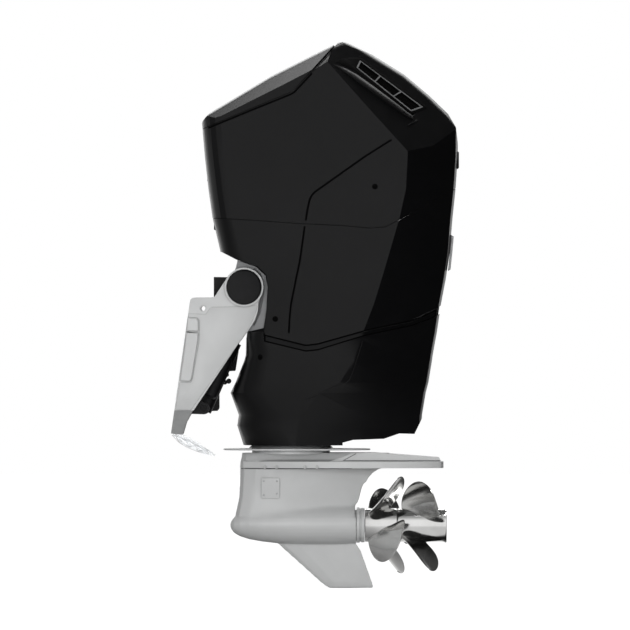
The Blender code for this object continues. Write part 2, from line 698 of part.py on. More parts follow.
def tilt_ram():
    """Barrel, rod and reservoir, drawn upright on the lower pin and leaned to the upper one."""
    base = (RAM_LOW[0], 0.0, RAM_LOW[1])
    across, rise = RAM_HIGH[0] - RAM_LOW[0], RAM_HIGH[1] - RAM_LOW[1]
    length, lean = math.hypot(across, rise), math.degrees(math.atan2(across, rise))
    profile = [(-10.0, 34.0), (290.0, 34.0), (290.0, 13.0), (272.0, 13.0), (272.0, 24.0), (24.0, 24.0)]
    barrel = turned("upright_cylinder", profile, "Z", base, 20)
    join(barrel, rod("cylinder_eye", "Y", base, -44.0, 44.0, EYE_RADIUS, 20))
    cut(barrel, rod("cylinder_eye_bore", "Y", base, -60.0, 60.0, PIN_RADIUS + 0.6, 20))
    settle(leaned(barrel, "tilt_cylinder", base, lean), DARK_CASTING, CYLINDER)
    reservoir = turned(
        "upright_reservoir", [(48.0, 22.0), (58.0, 29.0), (210.0, 29.0), (226.0, 20.0)], "Z",
        (base[0], -34.3 - 29.3, base[2]), 20,
    )
    settle(leaned(reservoir, "trim_reservoir", base, lean), BLACK_PLASTIC, CYLINDER)
    shaft = turned(
        "upright_ram", [(40.0, 23.4), (60.0, 23.4), (60.0, 12.3), (length - 18.0, 12.3)], "Z", base, 20,
    )
    join(shaft, rod("ram_eye", "Y", (base[0], 0.0, base[2] + length), -30.0, 30.0, EYE_RADIUS - 2.0, 20))
    join(shaft, rod("ram_pin", "Y", (base[0], 0.0, base[2] + length), -FORK_HALF + 1.5, FORK_HALF - 1.5, PIN_RADIUS, 20))
    settle(leaned(shaft, "tilt_ram_rod", base, lean), GROUND_STEEL, RAM)


# ---------------------------------------------------------------- middle section and power head
BANK_ANGLE = 24.0
BANK_HALF = 78.0
BLOCK_LOW = 61.0


def block_top():
    return cowl_z(640.0)


def bank_point(along, out, side):
    """A plan point on a cylinder bank: along it from the crankshaft, and out from its middle."""
    angle = math.radians(BANK_ANGLE)
    x = STEER_X + along * math.cos(angle) - out * math.sin(angle)
    y = along * math.sin(angle) + out * math.cos(angle)
    return (x, side * y)


def bank_outline(start, end, low, high, side):
    return [bank_point(a, o, side) for a, o in ((start, low), (end, low), (end, high), (start, high))]


def middle_section():
    neck_top = STEER_Z + 136.0
    outline = mirrored([(BOSS_REAR_X, 96.0), (352.0, 112.0), (470.0, 112.0), (560.0, 70.0)])
    housing = slab("middle_section", outline, STEER_Z + 48.0, -19.0, across="Z")
    join(housing, rod("bearing_seat", "Z", (STEER_X, 0.0, 0.0), COVER_BOTTOM, neck_top, STEER_NECK_RADIUS + 32.0, 32))
    plate = mirrored([(BOSS_REAR_X, MOUNT_HALF), (600.0, 172.0), (760.0, 120.0)])
    join(housing, slab("adapter_plate", plate, -20.0, 0.0, across="Z"))
    cut(housing, rod("neck_bore", "Z", (STEER_X, 0.0, 0.0), STEER_Z - 40.0, neck_top - 20.0, STEER_NECK_RADIUS + 0.9, 32))
    cut(housing, rod("shaft_way", "Z", (STEER_X, 0.0, 0.0), STEER_Z, 40.0, 40.0, 20))
    settle(housing, DARK_CASTING, ENGINE)
    ring_top = COVER_BOTTOM - FIT_GAP
    profile = [(ring_top, STEER_NECK_RADIUS + 12.0), (ring_top, 156.0), (STEER_Z + FIT_GAP, 169.0)]
    profile += [(STEER_Z + FIT_GAP, STEER_NECK_RADIUS + 12.0)]
    ring = turned("steering_bearing_ring", profile, "Z", (STEER_X, 0.0, 0.0), 40, bored=True)
    settle(ring, BLACK_PLASTIC, ENGINE)
    motor = slab("steering_actuator", mirrored([(560.3, 64.0), (640.0, 50.0)]),
                 STEER_Z + 70.0, STEER_Z + 190.0, across="Z")
    settle(motor, BLACK_PLASTIC, ENGINE)
    half_case = [(BOSS_REAR_X, 72.0), (360.0, 120.0), (470.0, 132.0), (540.0, 96.0), (552.0, 40.0)]
    case = slab("transmission_case", mirrored(half_case), FIT_GAP, BLOCK_LOW - FIT_GAP, across="Z")
    cut(case, rod("transmission_bore", "Z", (STEER_X, 0.0, 0.0), -20.0, 120.0, 34.0, 20))
    settle(case, BARE_ALUMINIUM, ENGINE)


def power_head():
    top = block_top()
    outline = [(BOSS_REAR_X, -90.0), (360.0, -115.0), (480.0, -115.0), (480.0, 115.0), (360.0, 115.0),
               (BOSS_REAR_X, 90.0)]
    engine_block = slab("engine_block", outline, BLOCK_LOW, top, across="Z")
    for side in (PORT, STARBOARD):
        bank = bank_outline(40.0, 330.0, -BANK_HALF, BANK_HALF, side)
        join(engine_block, slab("cylinder_bank", bank, BLOCK_LOW + 14.0, top - 22.0, across="Z"))
    cut(engine_block, rod("crank_bore", "Z", (STEER_X, 0.0, 0.0), 0.0, top + 40.0, 34.0, 20))
    settle(engine_block, BARE_ALUMINIUM, ENGINE)
    for name, side in SIDES.items():
        head = bank_outline(330.3, 396.0, -BANK_HALF + 2.0, BANK_HALF - 2.0, side)
        settle(slab(name + "_cylinder_head", head, BLOCK_LOW + 20.0, top - 28.0, across="Z"), BARE_ALUMINIUM, ENGINE)
        cover = bank_outline(396.3, 440.0, -BANK_HALF + 10.0, BANK_HALF - 12.0, side)
        settle(slab(name + "_cam_cover", cover, BLOCK_LOW + 30.0, top - 38.0, across="Z"), BLACK_PLASTIC, ENGINE)
        outside = bank_outline(150.0, 388.0, BANK_HALF + 0.3, BANK_HALF + 30.0, side)
        manifold = slab(name + "_exhaust_manifold", outside, BLOCK_LOW + 40.0, top - 60.0, across="Z")
        settle(manifold, DARK_CASTING, ENGINE)
    inner = [bank_point(a, -BANK_HALF - 0.5, STARBOARD) for a in (215.0, 330.0, 392.0)]
    plenum = inner + [(x, -y) for x, y in reversed(inner)]
    settle(slab("intake_plenum", plenum, BLOCK_LOW + 60.0, top - 70.0, across="Z"), BLACK_PLASTIC, ENGINE)
    settle(block("engine_control_box", (262.0, -80.0, cowl_z(215.0)), (BOSS_REAR_X - FIT_GAP, 80.0, cowl_z(430.0))), BLACK_PLASTIC, ENGINE)
    filter_profile = [(115.3, 30.0), (124.0, 38.0), (196.0, 38.0), (204.0, 30.0)]
    settle(turned("oil_filter", filter_profile, "Y", (372.0, 0.0, 226.0), 20), SATIN_BLACK, ENGINE)
    pulley_x, pulley_y = 372.0, -171.5
    profile = [
        (top - 96.0, 50.0), (top - 86.0, 56.0), (top - 16.0, 56.0), (top - 6.0, 40.0), (top - 6.0, 12.0),
        (top + 18.0, 12.0), (top + 18.0, 30.0), (top + 32.0, 30.0),
    ]
    settle(turned("alternator", profile, "Z", (pulley_x, pulley_y, 0.0), 24), BARE_ALUMINIUM, ENGINE)
    gap = Vector((pulley_x - STEER_X, pulley_y))
    lean = math.degrees(math.atan2(gap.y, gap.x))
    open_by = math.degrees(math.acos((62.0 - 30.0) / gap.length))
    loops = []
    for clear in (5.5, 0.5):
        big = arc((STEER_X, 0.0), 62.0 + clear, lean + open_by, lean + 360.0 - open_by, 14)
        small = arc((pulley_x, pulley_y), 30.0 + clear, lean - open_by, lean + open_by, 8)
        loops.append(big + small)
    belt_low, belt_high = top + 20.0, top + 30.0
    rings = [[(x, y, z) for x, y in loops[i]] for i, z in ((0, belt_low), (0, belt_high), (1, belt_high), (1, belt_low))]
    settle(loft("drive_belt", rings, closed=True), RUBBER, ENGINE)


def crank():
    top = block_top()
    profile = [
        (-60.0, 26.0), (top + 4.0, 26.0), (top + 4.0, 60.0), (top + 18.0, 60.0), (top + 18.0, 62.0),
        (top + 32.0, 62.0), (top + 32.0, 40.0), (top + 38.0, 40.0), (top + 38.0, 128.0), (top + 58.0, 128.0),
        (top + 58.0, 30.0), (top + 66.0, 30.0),
    ]
    shaft = turned("crankshaft_and_flywheel", profile, "Z", (STEER_X, 0.0, 0.0), 28)
    cut(shaft, rod("spline_socket", "Z", (STEER_X, 0.0, 0.0), -100.0, 0.0, DRIVE_SHAFT_RADIUS + 0.6, 20))
    for z in (BLOCK_LOW + 40.0, top - 40.0):
        join(shaft, rod("main_journal", "Z", (STEER_X, 0.0, 0.0), z - 12.0, z + 12.0, 33.2, 20))
    settle(shaft, GROUND_STEEL, CRANK)


# ---------------------------------------------------------------- gearcase
def foil_ring(z, lead, trail, half, count=9):
    """A rounded nose running back to a thin tail, at one height."""
    side = []
    for i in range(count + 1):
        s = (1 - math.cos(math.pi * i / count)) / 2
        thick = 2.969 * math.sqrt(s) - 1.26 * s - 3.516 * s**2 + 2.843 * s**3 - 1.036 * s**4
        y = 0.0 if i == 0 else max(half * thick, 1.6)
        side.append((lead + (trail - lead) * s, y))
    return [(x, y, z) for x, y in mirrored(side)]


def gearcase_upper():
    plate_z = VENT_PLATE_Z
    flange = rod("gearcase_upper", "Z", (STEER_X, 0.0, 0.0), STEER_Z - 24.0, STEER_Z - FIT_GAP, 156.0, 40)
    join(flange, rod("steering_neck", "Z", (STEER_X, 0.0, 0.0), STEER_Z - 10.0, STEER_Z + 106.0, STEER_NECK_RADIUS, 32))
    body_rings = [
        foil_ring(plate_z, 203.0, 782.0, 66.0), foil_ring(plate_z + 24.0, 205.0, 790.0, 84.0),
        foil_ring(plate_z + 44.0, 210.0, 800.0, 104.0), foil_ring(STEER_Z - 20.0, 212.0, 800.0, 118.0),
    ]
    join(flange, loft("gearcase_waist", body_rings))
    half_plan = [(214.0, 0.0), (216.0, 40.0), (300.0, 84.0), (450.0, 122.0), (650.0, 150.0), (820.0, 156.0),
                 (950.0, 138.0), (1006.0, 104.0), (1016.0, 60.0), (1016.0, 0.0)]
    join(flange, slab("vent_plate", mirrored(half_plan), plate_z, plate_z + 26.0, across="Z"))
    dome = [(560.0, plate_z + 62.0), (737.0, plate_z + 62.0), (998.0, plate_z + 43.0), (1014.0, plate_z + 12.0),
            (560.0, plate_z + 12.0)]
    join(flange, slab("vent_plate_dome", dome, -64.0, 64.0))
    cut(flange, rod("upper_shaft_bore", "Z", (STEER_X, 0.0, 0.0), plate_z - 40.0, STEER_Z + 200.0,
                    DRIVE_SHAFT_RADIUS + 0.6, 20))
    settle(flange, SILVER_PAINT, GEARCASE)
    half_splash = [(137.0, 0.0), (140.0, 46.0), (160.0, 104.0), (214.0, 160.0), (300.0, 196.0), (420.0, 206.0),
                   (560.0, 190.0), (660.0, 138.0), (712.0, 70.0), (724.0, 0.0)]
    splash = slab("splash_plate", mirrored(half_splash), STEER_Z - 9.0, STEER_Z - 3.0, across="Z")
    cut(splash, rod("splash_hole", "Z", (STEER_X, 0.0, 0.0), STEER_Z - 30.0, STEER_Z + 30.0, 156.8, 40))
    settle(splash, SILVER_PAINT, GEARCASE)


def gearcase_lower():
    top = VENT_PLATE_Z - FIT_GAP
    drop = PROP_AXIS_DROP / 229.0
    carrier_x = BULLET_REAR_X - 32.0
    strut = loft("gearcase_lower", [
        foil_ring(top, 202.0, 779.0, 63.0), foil_ring(VENT_PLATE_Z - 8.0 * drop, 202.4, 755.0, 62.0),
        foil_ring(VENT_PLATE_Z - 21.0 * drop, 203.0, 735.0, 60.0),
        foil_ring(VENT_PLATE_Z - 45.0 * drop, 202.4, 715.0, 56.5),
        foil_ring(VENT_PLATE_Z - 69.0 * drop, 201.4, 703.0, 54.0),
        foil_ring(VENT_PLATE_Z - 93.0 * drop, 200.2, 695.0, 52.0),
        foil_ring(VENT_PLATE_Z - 121.0 * drop, 198.2, 689.0, 51.0),
        foil_ring(PROP_Z + 1.15 * BULLET_RADIUS, 194.0, 682.0, 51.0),
        foil_ring(PROP_Z + 0.98 * BULLET_RADIUS, 191.0, carrier_x - 1.0, 52.0),
        foil_ring(PROP_Z + 24.0, 180.0, carrier_x - 2.0, 58.0), foil_ring(PROP_Z, 196.0, carrier_x - 3.0, 50.0),
    ])
    grow = BULLET_RADIUS / 76.0
    nose = [(164.0, 4.0), (168.0, 17.0), (180.0, 32.0), (202.0, 45.0), (240.0, 57.0), (290.0, 66.0), (350.0, 73.0),
            (430.0, 76.0), (560.0, 76.0), (640.0, 73.0), (carrier_x, 71.0)]
    centre = (0.0, 0.0, PROP_Z)
    join(strut, turned("bullet", [(x, r * grow) for x, r in nose], "X", centre, 32))
    skeg_top = PROP_Z - BULLET_RADIUS * 0.55
    skeg_tip = VENT_PLATE_Z - SKEG_DROP
    skeg = loft("skeg", [
        foil_ring(skeg_top, 300.0, carrier_x - 2.0, 17.0, 6),
        foil_ring(PROP_Z - 0.98 * BULLET_RADIUS, 354.0, carrier_x - 1.0, 13.0, 6),
        foil_ring(PROP_Z - 1.3 * BULLET_RADIUS, 380.0, 686.0, 12.0, 6),
        foil_ring(skeg_tip + 24.0, 524.0, 732.0, 8.0, 6), foil_ring(skeg_tip + 5.0, 548.0, 737.0, 6.0, 6),
        foil_ring(skeg_tip, 560.0, 734.0, 4.0, 6),
    ])
    join(strut, skeg)
    cut(strut, rod("gear_chamber", "X", centre, 330.0, BULLET_REAR_X + 40.0, BULLET_BORE, 32))
    cut(strut, rod("pinion_chamber", "Z", (STEER_X, 0.0, 0.0), PROP_Z + 20.0, PROP_Z + GEAR_PITCH + 18.0,
                   PINION_PITCH + 4.0, 24))
    cut(strut, rod("thrust_bearing_seat", "X", centre, 290.0, 340.0, INNER_SHAFT_RADIUS + 0.6, 20))
    cut(strut, rod("lower_shaft_bore", "Z", (STEER_X, 0.0, 0.0), PROP_Z, VENT_PLATE_Z + 40.0,
                   DRIVE_SHAFT_RADIUS + 0.6, 20))
    settle(strut, SILVER_PAINT, GEARCASE)

    inner_x, face_x = carrier_x - 60.0, carrier_x + FIT_GAP
    profile = [
        (inner_x, OUTER_SHAFT_RADIUS + 0.6), (inner_x, BULLET_BORE - 0.6), (face_x, BULLET_BORE - 0.6),
        (face_x, 71.0 * grow), (carrier_x + 12.0, 71.0 * grow), (carrier_x + 13.0, 67.0 * grow),
        (carrier_x + 18.0, 67.0 * grow), (carrier_x + 19.0, 70.0 * grow), (BULLET_REAR_X, 69.0 * grow),
        (BULLET_REAR_X, OUTER_SHAFT_RADIUS + 0.6),
    ]
    settle(turned("bearing_carrier", profile, "X", centre, 32, bored=True), SILVER_PAINT, GEARCASE)
    for name, side in SIDES.items():
        corners = [(289.0, 57.0, -676.0), (361.0, 57.0, -676.0), (361.0, 51.4, -756.0), (289.0, 51.4, -756.0)]
        rings = [
            [(x, side * (y + proud), VENT_PLATE_Z + (z + 635.0) * drop) for x, y, z in corners]
            for proud in (0.0, 3.4)
        ]
        pad = loft(name + "_intake_cover", rings)
        settle(pad, SILVER_PAINT, GEARCASE)


# ---------------------------------------------------------------- gears, shafts and propellers
def bevel_gear(name, axis, apex, towards, pitch, reach, teeth):
    """A stub-toothed bevel gear whose pitch cone has its point at apex."""
    loops = []
    for share, deep in ((0.66, 0.0), (1.0, 0.0), (1.0, 1.0)):
        ring = []
        for i in range(teeth * 4):
            tip = i % 4 in (0, 1)
            radius = pitch * share - GEAR_CLEARANCE - (0.0 if tip else TOOTH * share)
            along = reach * share + deep * 12.0 + GEAR_CLEARANCE
            ring.append(around(axis, apex, towards * along, radius, 2 * math.pi * i / (teeth * 4)))
        loops.append(ring)
    return loft(name, loops)


def drive_shaft():
    apex = (STEER_X, 0.0, PROP_Z)
    shaft = rod("drive_shaft_and_pinion", "Z", (STEER_X, 0.0, 0.0), PROP_Z + 36.0, -2.0, DRIVE_SHAFT_RADIUS, 20)
    join(shaft, bevel_gear("pinion", "Z", apex, 1.0, PINION_PITCH, GEAR_PITCH, 12))
    settle(shaft, GROUND_STEEL, DRIVE)


def blade(name, phase, hand, root_x, rake, tip_radius, spread, hub):
    """One propeller blade: rings across it at rising radii, each following the pitch helix."""
    pitch_rate = 600.0 / (2 * math.pi)
    low = hub - HUB_WALL * 0.5
    rings = []
    shares = ((0.0, 0.70), (0.25, 0.92), (0.5, 1.0), (0.74, 0.92), (0.9, 0.66), (0.975, 0.36), (1.0, 0.12))
    for share, width in shares:
        radius = low + (tip_radius - low) * share
        reach = math.radians(spread) * width
        thick = 9.5 * (1 - share) + 2.2
        pitch_angle = math.atan2(pitch_rate, radius)
        upper, lower = [], []
        for j in range(7):
            s = -1.0 + j / 3.0
            angle = s * reach
            x = root_x + rake * share**1.1 + pitch_rate * angle
            half = 0.5 * thick * (1 - 0.82 * s * s)
            for side, row in ((1.0, upper), (-1.0, lower)):
                off_x = side * half * math.cos(pitch_angle)
                off_turn = -side * half * math.sin(pitch_angle) / radius
                turn = math.radians(phase) + hand * (angle + off_turn)
                row.append((x + off_x, radius * math.cos(turn), PROP_Z + radius * math.sin(turn)))
        rings.append(upper + list(reversed(lower)))
    return loft(name, rings)


def propeller(name, hub_low, hub_high, flare, bore, phases, hand, root_x, rake, tip_radius, spread, parent):
    centre = (0.0, 0.0, PROP_Z)
    inner = HUB_RADIUS - HUB_WALL
    profile = [(hub_low, inner), (hub_low, HUB_RADIUS), (hub_high - 16.0, HUB_RADIUS), (hub_high, HUB_RADIUS + flare),
               (hub_high, inner + flare)]
    wheel = turned(name, profile, "X", centre, 36, bored=True)
    sleeve = pipe("sleeve", "X", centre, hub_low + 6.0, hub_high - 44.0, bore + 13.0, bore, 24)
    webs = []
    for number in range(3):
        angle = 2 * math.pi * number / 3 + 0.5
        web = block("web", (hub_low + 12.0, bore + 8.0, PROP_Z - 4.0), (hub_high - 52.0, HUB_RADIUS - 2.0, PROP_Z + 4.0))
        turn = Matrix.Rotation(angle, 4, "X")
        point = Vector(centre) * MM
        web.data.transform(Matrix.Translation(point) @ turn @ Matrix.Translation(-point))
        webs.append(web)
    join(wheel, sleeve, *webs)
    blades = [
        blade(f"{name}_blade", phase, hand, root_x, rake, tip_radius, spread, HUB_RADIUS)
        for phase in phases
    ]
    join(wheel, *blades)
    settle(wheel, POLISHED_STEEL, parent, 24.0)


def propellers():
    apex = (STEER_X, 0.0, PROP_Z)
    centre = (0.0, 0.0, PROP_Z)
    front_low = BULLET_REAR_X + 1.3
    front_high = front_low + FRONT_HUB_LENGTH
    rear_low = front_high + 2.4
    rear_high = rear_low + REAR_HUB_LENGTH
    inner_bore = INNER_SHAFT_RADIUS + 0.3
    inner_end = rear_high - 20.0

    inner_shaft = rod("inner_propeller_shaft", "X", centre, 296.0, inner_end, INNER_SHAFT_RADIUS, 20)
    join(inner_shaft, bevel_gear("forward_gear", "X", apex, -1.0, GEAR_PITCH, PINION_PITCH, 18))
    settle(inner_shaft, GROUND_STEEL, REAR_PROP)

    outer = pipe("outer_propeller_shaft", "X", centre, STEER_X + 42.0, front_high - 22.0, OUTER_SHAFT_RADIUS,
                 INNER_SHAFT_RADIUS + 0.6, 20)
    gear = bevel_gear("aft_gear", "X", apex, 1.0, GEAR_PITCH, PINION_PITCH, 18)
    cut(gear, rod("aft_gear_bore", "X", centre, STEER_X, STEER_X + 80.0, INNER_SHAFT_RADIUS + 0.6, 20))
    join(outer, gear)
    settle(outer, GROUND_STEEL, FRONT_PROP)

    propeller("front_propeller", front_low, front_high, 0.0, OUTER_SHAFT_RADIUS + 0.3, (116.0, 26.0, -64.0, -154.0),
              -1.0, 757.0, 74.0, FRONT_PROP_RADIUS, 36.0, FRONT_PROP)
    propeller("rear_propeller", rear_low, rear_high, 4.0, inner_bore, (-114.0, 126.0, 6.0),
              1.0, 896.0, 62.0, REAR_PROP_RADIUS, 40.0, REAR_PROP)
    nut_low = rear_high - 43.7
    nut = rod("rear_propeller_nut", "X", centre, nut_low, nut_low + 22.0, 32.0, 6)
    join(nut, rod("nut_washer", "X", centre, nut_low, nut_low + 4.0, 36.0, 24))
    cut(nut, rod("nut_bore", "X", centre, nut_low - 10.0, nut_low + 40.0, inner_bore, 20))
    settle(nut, POLISHED_STEEL, REAR_PROP)
    ring_low = front_high - 43.7
    collar = pipe("front_propeller_nut", "X", centre, ring_low, ring_low + 20.0, 46.0, OUTER_SHAFT_RADIUS + 0.3, 20)
    settle(collar, GROUND_STEEL, FRONT_PROP)


upper_cowl()
hatch()
service_tray()
panel_seals()
air_vents()
lower_cowls()
mid_covers()
waist_seal()
rear_grip_plate()
clamp_brackets()
tilt_tube_and_pins()
swivel_housing()
tilt_ram()
middle_section()
power_head()
crank()
gearcase_upper()
gearcase_lower()
drive_shaft()
propellers()
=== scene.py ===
"""The looks of an outboard motor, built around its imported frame."""
import json
import math

import bpy
from mathutils import Matrix, Vector
from mathutils.bvhtree import BVHTree


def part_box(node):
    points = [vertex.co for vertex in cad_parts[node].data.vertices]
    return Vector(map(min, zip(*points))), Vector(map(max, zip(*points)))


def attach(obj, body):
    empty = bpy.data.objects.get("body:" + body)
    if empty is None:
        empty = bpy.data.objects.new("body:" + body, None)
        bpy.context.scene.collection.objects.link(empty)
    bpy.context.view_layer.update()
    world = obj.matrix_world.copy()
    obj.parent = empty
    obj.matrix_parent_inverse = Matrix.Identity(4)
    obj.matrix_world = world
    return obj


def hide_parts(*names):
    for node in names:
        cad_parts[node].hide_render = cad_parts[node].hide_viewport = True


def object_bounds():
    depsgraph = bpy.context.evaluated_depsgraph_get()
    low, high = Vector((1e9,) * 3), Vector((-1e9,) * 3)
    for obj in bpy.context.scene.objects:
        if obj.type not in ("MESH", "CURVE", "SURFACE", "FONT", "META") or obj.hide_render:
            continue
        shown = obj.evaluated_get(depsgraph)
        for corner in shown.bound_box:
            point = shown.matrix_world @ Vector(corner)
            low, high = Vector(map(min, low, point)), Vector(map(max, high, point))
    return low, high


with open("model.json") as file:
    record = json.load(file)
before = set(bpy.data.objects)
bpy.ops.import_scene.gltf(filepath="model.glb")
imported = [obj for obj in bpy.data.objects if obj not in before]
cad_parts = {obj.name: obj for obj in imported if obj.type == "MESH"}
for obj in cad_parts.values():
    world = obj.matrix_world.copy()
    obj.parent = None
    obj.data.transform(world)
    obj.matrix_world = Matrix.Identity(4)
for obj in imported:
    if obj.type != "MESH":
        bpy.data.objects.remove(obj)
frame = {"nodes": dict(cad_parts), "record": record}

CAD_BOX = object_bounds()

bl_info = {
    "name": "Outboard motor",
    "version": (1, 0, 0),
    "blender": (4, 5, 0),
    "location": "3D View > Sidebar > Outboard",
    "description": "Finishes and details for an outboard motor",
    "category": "Object",
}

NODES = frame["nodes"]
BEHAVIOUR = frame["record"]["behaviour"]
BODY_OF = {node: body for body, members in BEHAVIOUR["bodies"].items() for node in members}
SIDES = {"port": -1.0, "starboard": 1.0}  # which way each side lies along Y
MM = 0.001

# the propellers' common axis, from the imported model
PROP_AXIS = next(Vector(j["pos_m"]) for j in BEHAVIOUR["joints"] if j["name"] == "rear_prop_spin")

# the side view that places are measured on: the mm in one of its steps, where the origin lies, and its width
STEP = 4.0
ORIGIN_X = 757.2
ORIGIN_Z = 1236.0
VIEW_STEPS = 630


# ---------------------------------------------------------------- colours, nodes and materials
def linear(code):
    """A Blender colour from an sRGB hex value."""
    parts = [int(code[i:i + 2], 16) / 255 for i in (1, 3, 5)]
    return tuple(p / 12.92 if p <= 0.04045 else ((p + 0.055) / 1.055) ** 2.4 for p in parts)


def add(tree, kind, sockets=(), **settings):
    """Adds a node, with its settings, and with a value or a link for each socket named."""
    made = tree.nodes.new(kind)
    for name, value in settings.items():
        setattr(made, name, value)
    for name, value in dict(sockets).items():
        if isinstance(value, bpy.types.NodeSocket):
            tree.links.new(value, made.inputs[name])
        else:
            made.inputs[name].default_value = value
    return made


def paint(code):
    """The same colour with full alpha, as a socket takes it."""
    return (*linear(code), 1.0)


FINISHES = {}
WEAR_REACH = 2.5  # how far worn edges reach in from an edge, in mm
SHADE_REACH = 12.0  # how far the painted shade reaches out of a corner, in mm
SMUDGE_PATCH = 60.0  # the size of the duller and shinier patches, in mm
BRUSH_STRETCH = 40.0  # how many times longer than its spacing a brushed line is


def surface(name, code, roughness, metallic=0.0, ior=1.5, mottle=None, grain=None, brushed=None, smudge=0.0,
            wear=None, corner_shade=None, clear=0.0):
    """A finish made of a base colour, slow colour drift, a fine relief, brushing, and worn edges.

    mottle is (second colour, patch size in mm, share), grain is (grit in mm, relief in mm),
    brushed is (axis, line spacing in mm, relief in mm), and wear and corner shade are each (colour, share):
    worn edges made lighter, and shade painted darker into corners.
    """
    made = bpy.data.materials.new(name)
    made.use_nodes = True
    tree = made.node_tree
    tree.nodes.clear()
    place = add(tree, "ShaderNodeTexCoord").outputs["Object"]
    shader = add(tree, "ShaderNodeBsdfPrincipled", {
        "Base Color": paint(code), "Roughness": roughness, "Metallic": metallic, "IOR": ior,
        "Transmission Weight": clear})
    colour = None
    if mottle:
        second, patch, share = mottle
        noise = add(tree, "ShaderNodeTexNoise", {
            "Vector": place, "Scale": 1000.0 / patch, "Detail": 3.0, "Roughness": 0.55})
        amount = add(tree, "ShaderNodeMapRange", {
            "Value": noise.outputs["Fac"], "From Min": 0.35, "From Max": 0.65,
            "To Min": 0.0, "To Max": share})
        mix = add(tree, "ShaderNodeMix", {0: amount.outputs["Result"], 6: paint(code), 7: paint(second)},
                  data_type="RGBA")
        colour = mix.outputs[2]
    # worn edges are made lighter, and shade is painted darker into corners and crevices, both found by
    # ambient occlusion
    for extra, inside, reach, low, high in ((wear, False, WEAR_REACH, 0.45, 0.8),
                                            (corner_shade, True, SHADE_REACH, 0.35, 0.85)):
        if extra:
            second, share = extra
            shelter = add(tree, "ShaderNodeAmbientOcclusion", {"Distance": reach * MM},
                          inside=not inside, samples=6)
            amount = add(tree, "ShaderNodeMapRange", {
                "Value": shelter.outputs["AO"], "From Min": low, "From Max": high,
                "To Min": share, "To Max": 0.0})
            base = colour if colour is not None else paint(code)
            mix = add(tree, "ShaderNodeMix", {0: amount.outputs["Result"], 6: base, 7: paint(second)},
                      data_type="RGBA")
            colour = mix.outputs[2]
    if colour is not None:
        tree.links.new(colour, shader.inputs["Base Color"])
    if smudge:
        noise = add(tree, "ShaderNodeTexNoise", {
            "Vector": place, "Scale": 1000.0 / SMUDGE_PATCH, "Detail": 4.0})
        drift = add(tree, "ShaderNodeMapRange", {
            "Value": noise.outputs["Fac"], "From Min": 0.3, "From Max": 0.7,
            "To Min": roughness - smudge, "To Max": roughness + smudge})
        tree.links.new(drift.outputs["Result"], shader.inputs["Roughness"])
    reliefs = []
    if grain:
        grit, relief = grain
        noise = add(tree, "ShaderNodeTexNoise", {"Vector": place, "Scale": 1000.0 / grit, "Detail": 2.0})
        reliefs.append((noise, relief))
    if brushed:
        axis, spacing, relief = brushed
        fine = 1000.0 / spacing
        stretch = add(tree, "ShaderNodeMapping", {
            "Vector": place,
            "Scale": tuple(fine / BRUSH_STRETCH if axis == letter else fine for letter in "XYZ")})
        noise = add(tree, "ShaderNodeTexNoise", {
            "Vector": stretch.outputs["Vector"], "Scale": 1.0, "Detail": 3.0})
        reliefs.append((noise, relief))
    under = {}
    for noise, relief in reliefs:
        bump = add(tree, "ShaderNodeBump", {
            "Height": noise.outputs["Fac"], "Distance": relief * MM, "Strength": 1.0, **under})
        under = {"Normal": bump.outputs["Normal"]}
    if under:
        tree.links.new(under["Normal"], shader.inputs["Normal"])
    output = add(tree, "ShaderNodeOutputMaterial")
    tree.links.new(shader.outputs["BSDF"], output.inputs["Surface"])
    FINISHES[name] = made


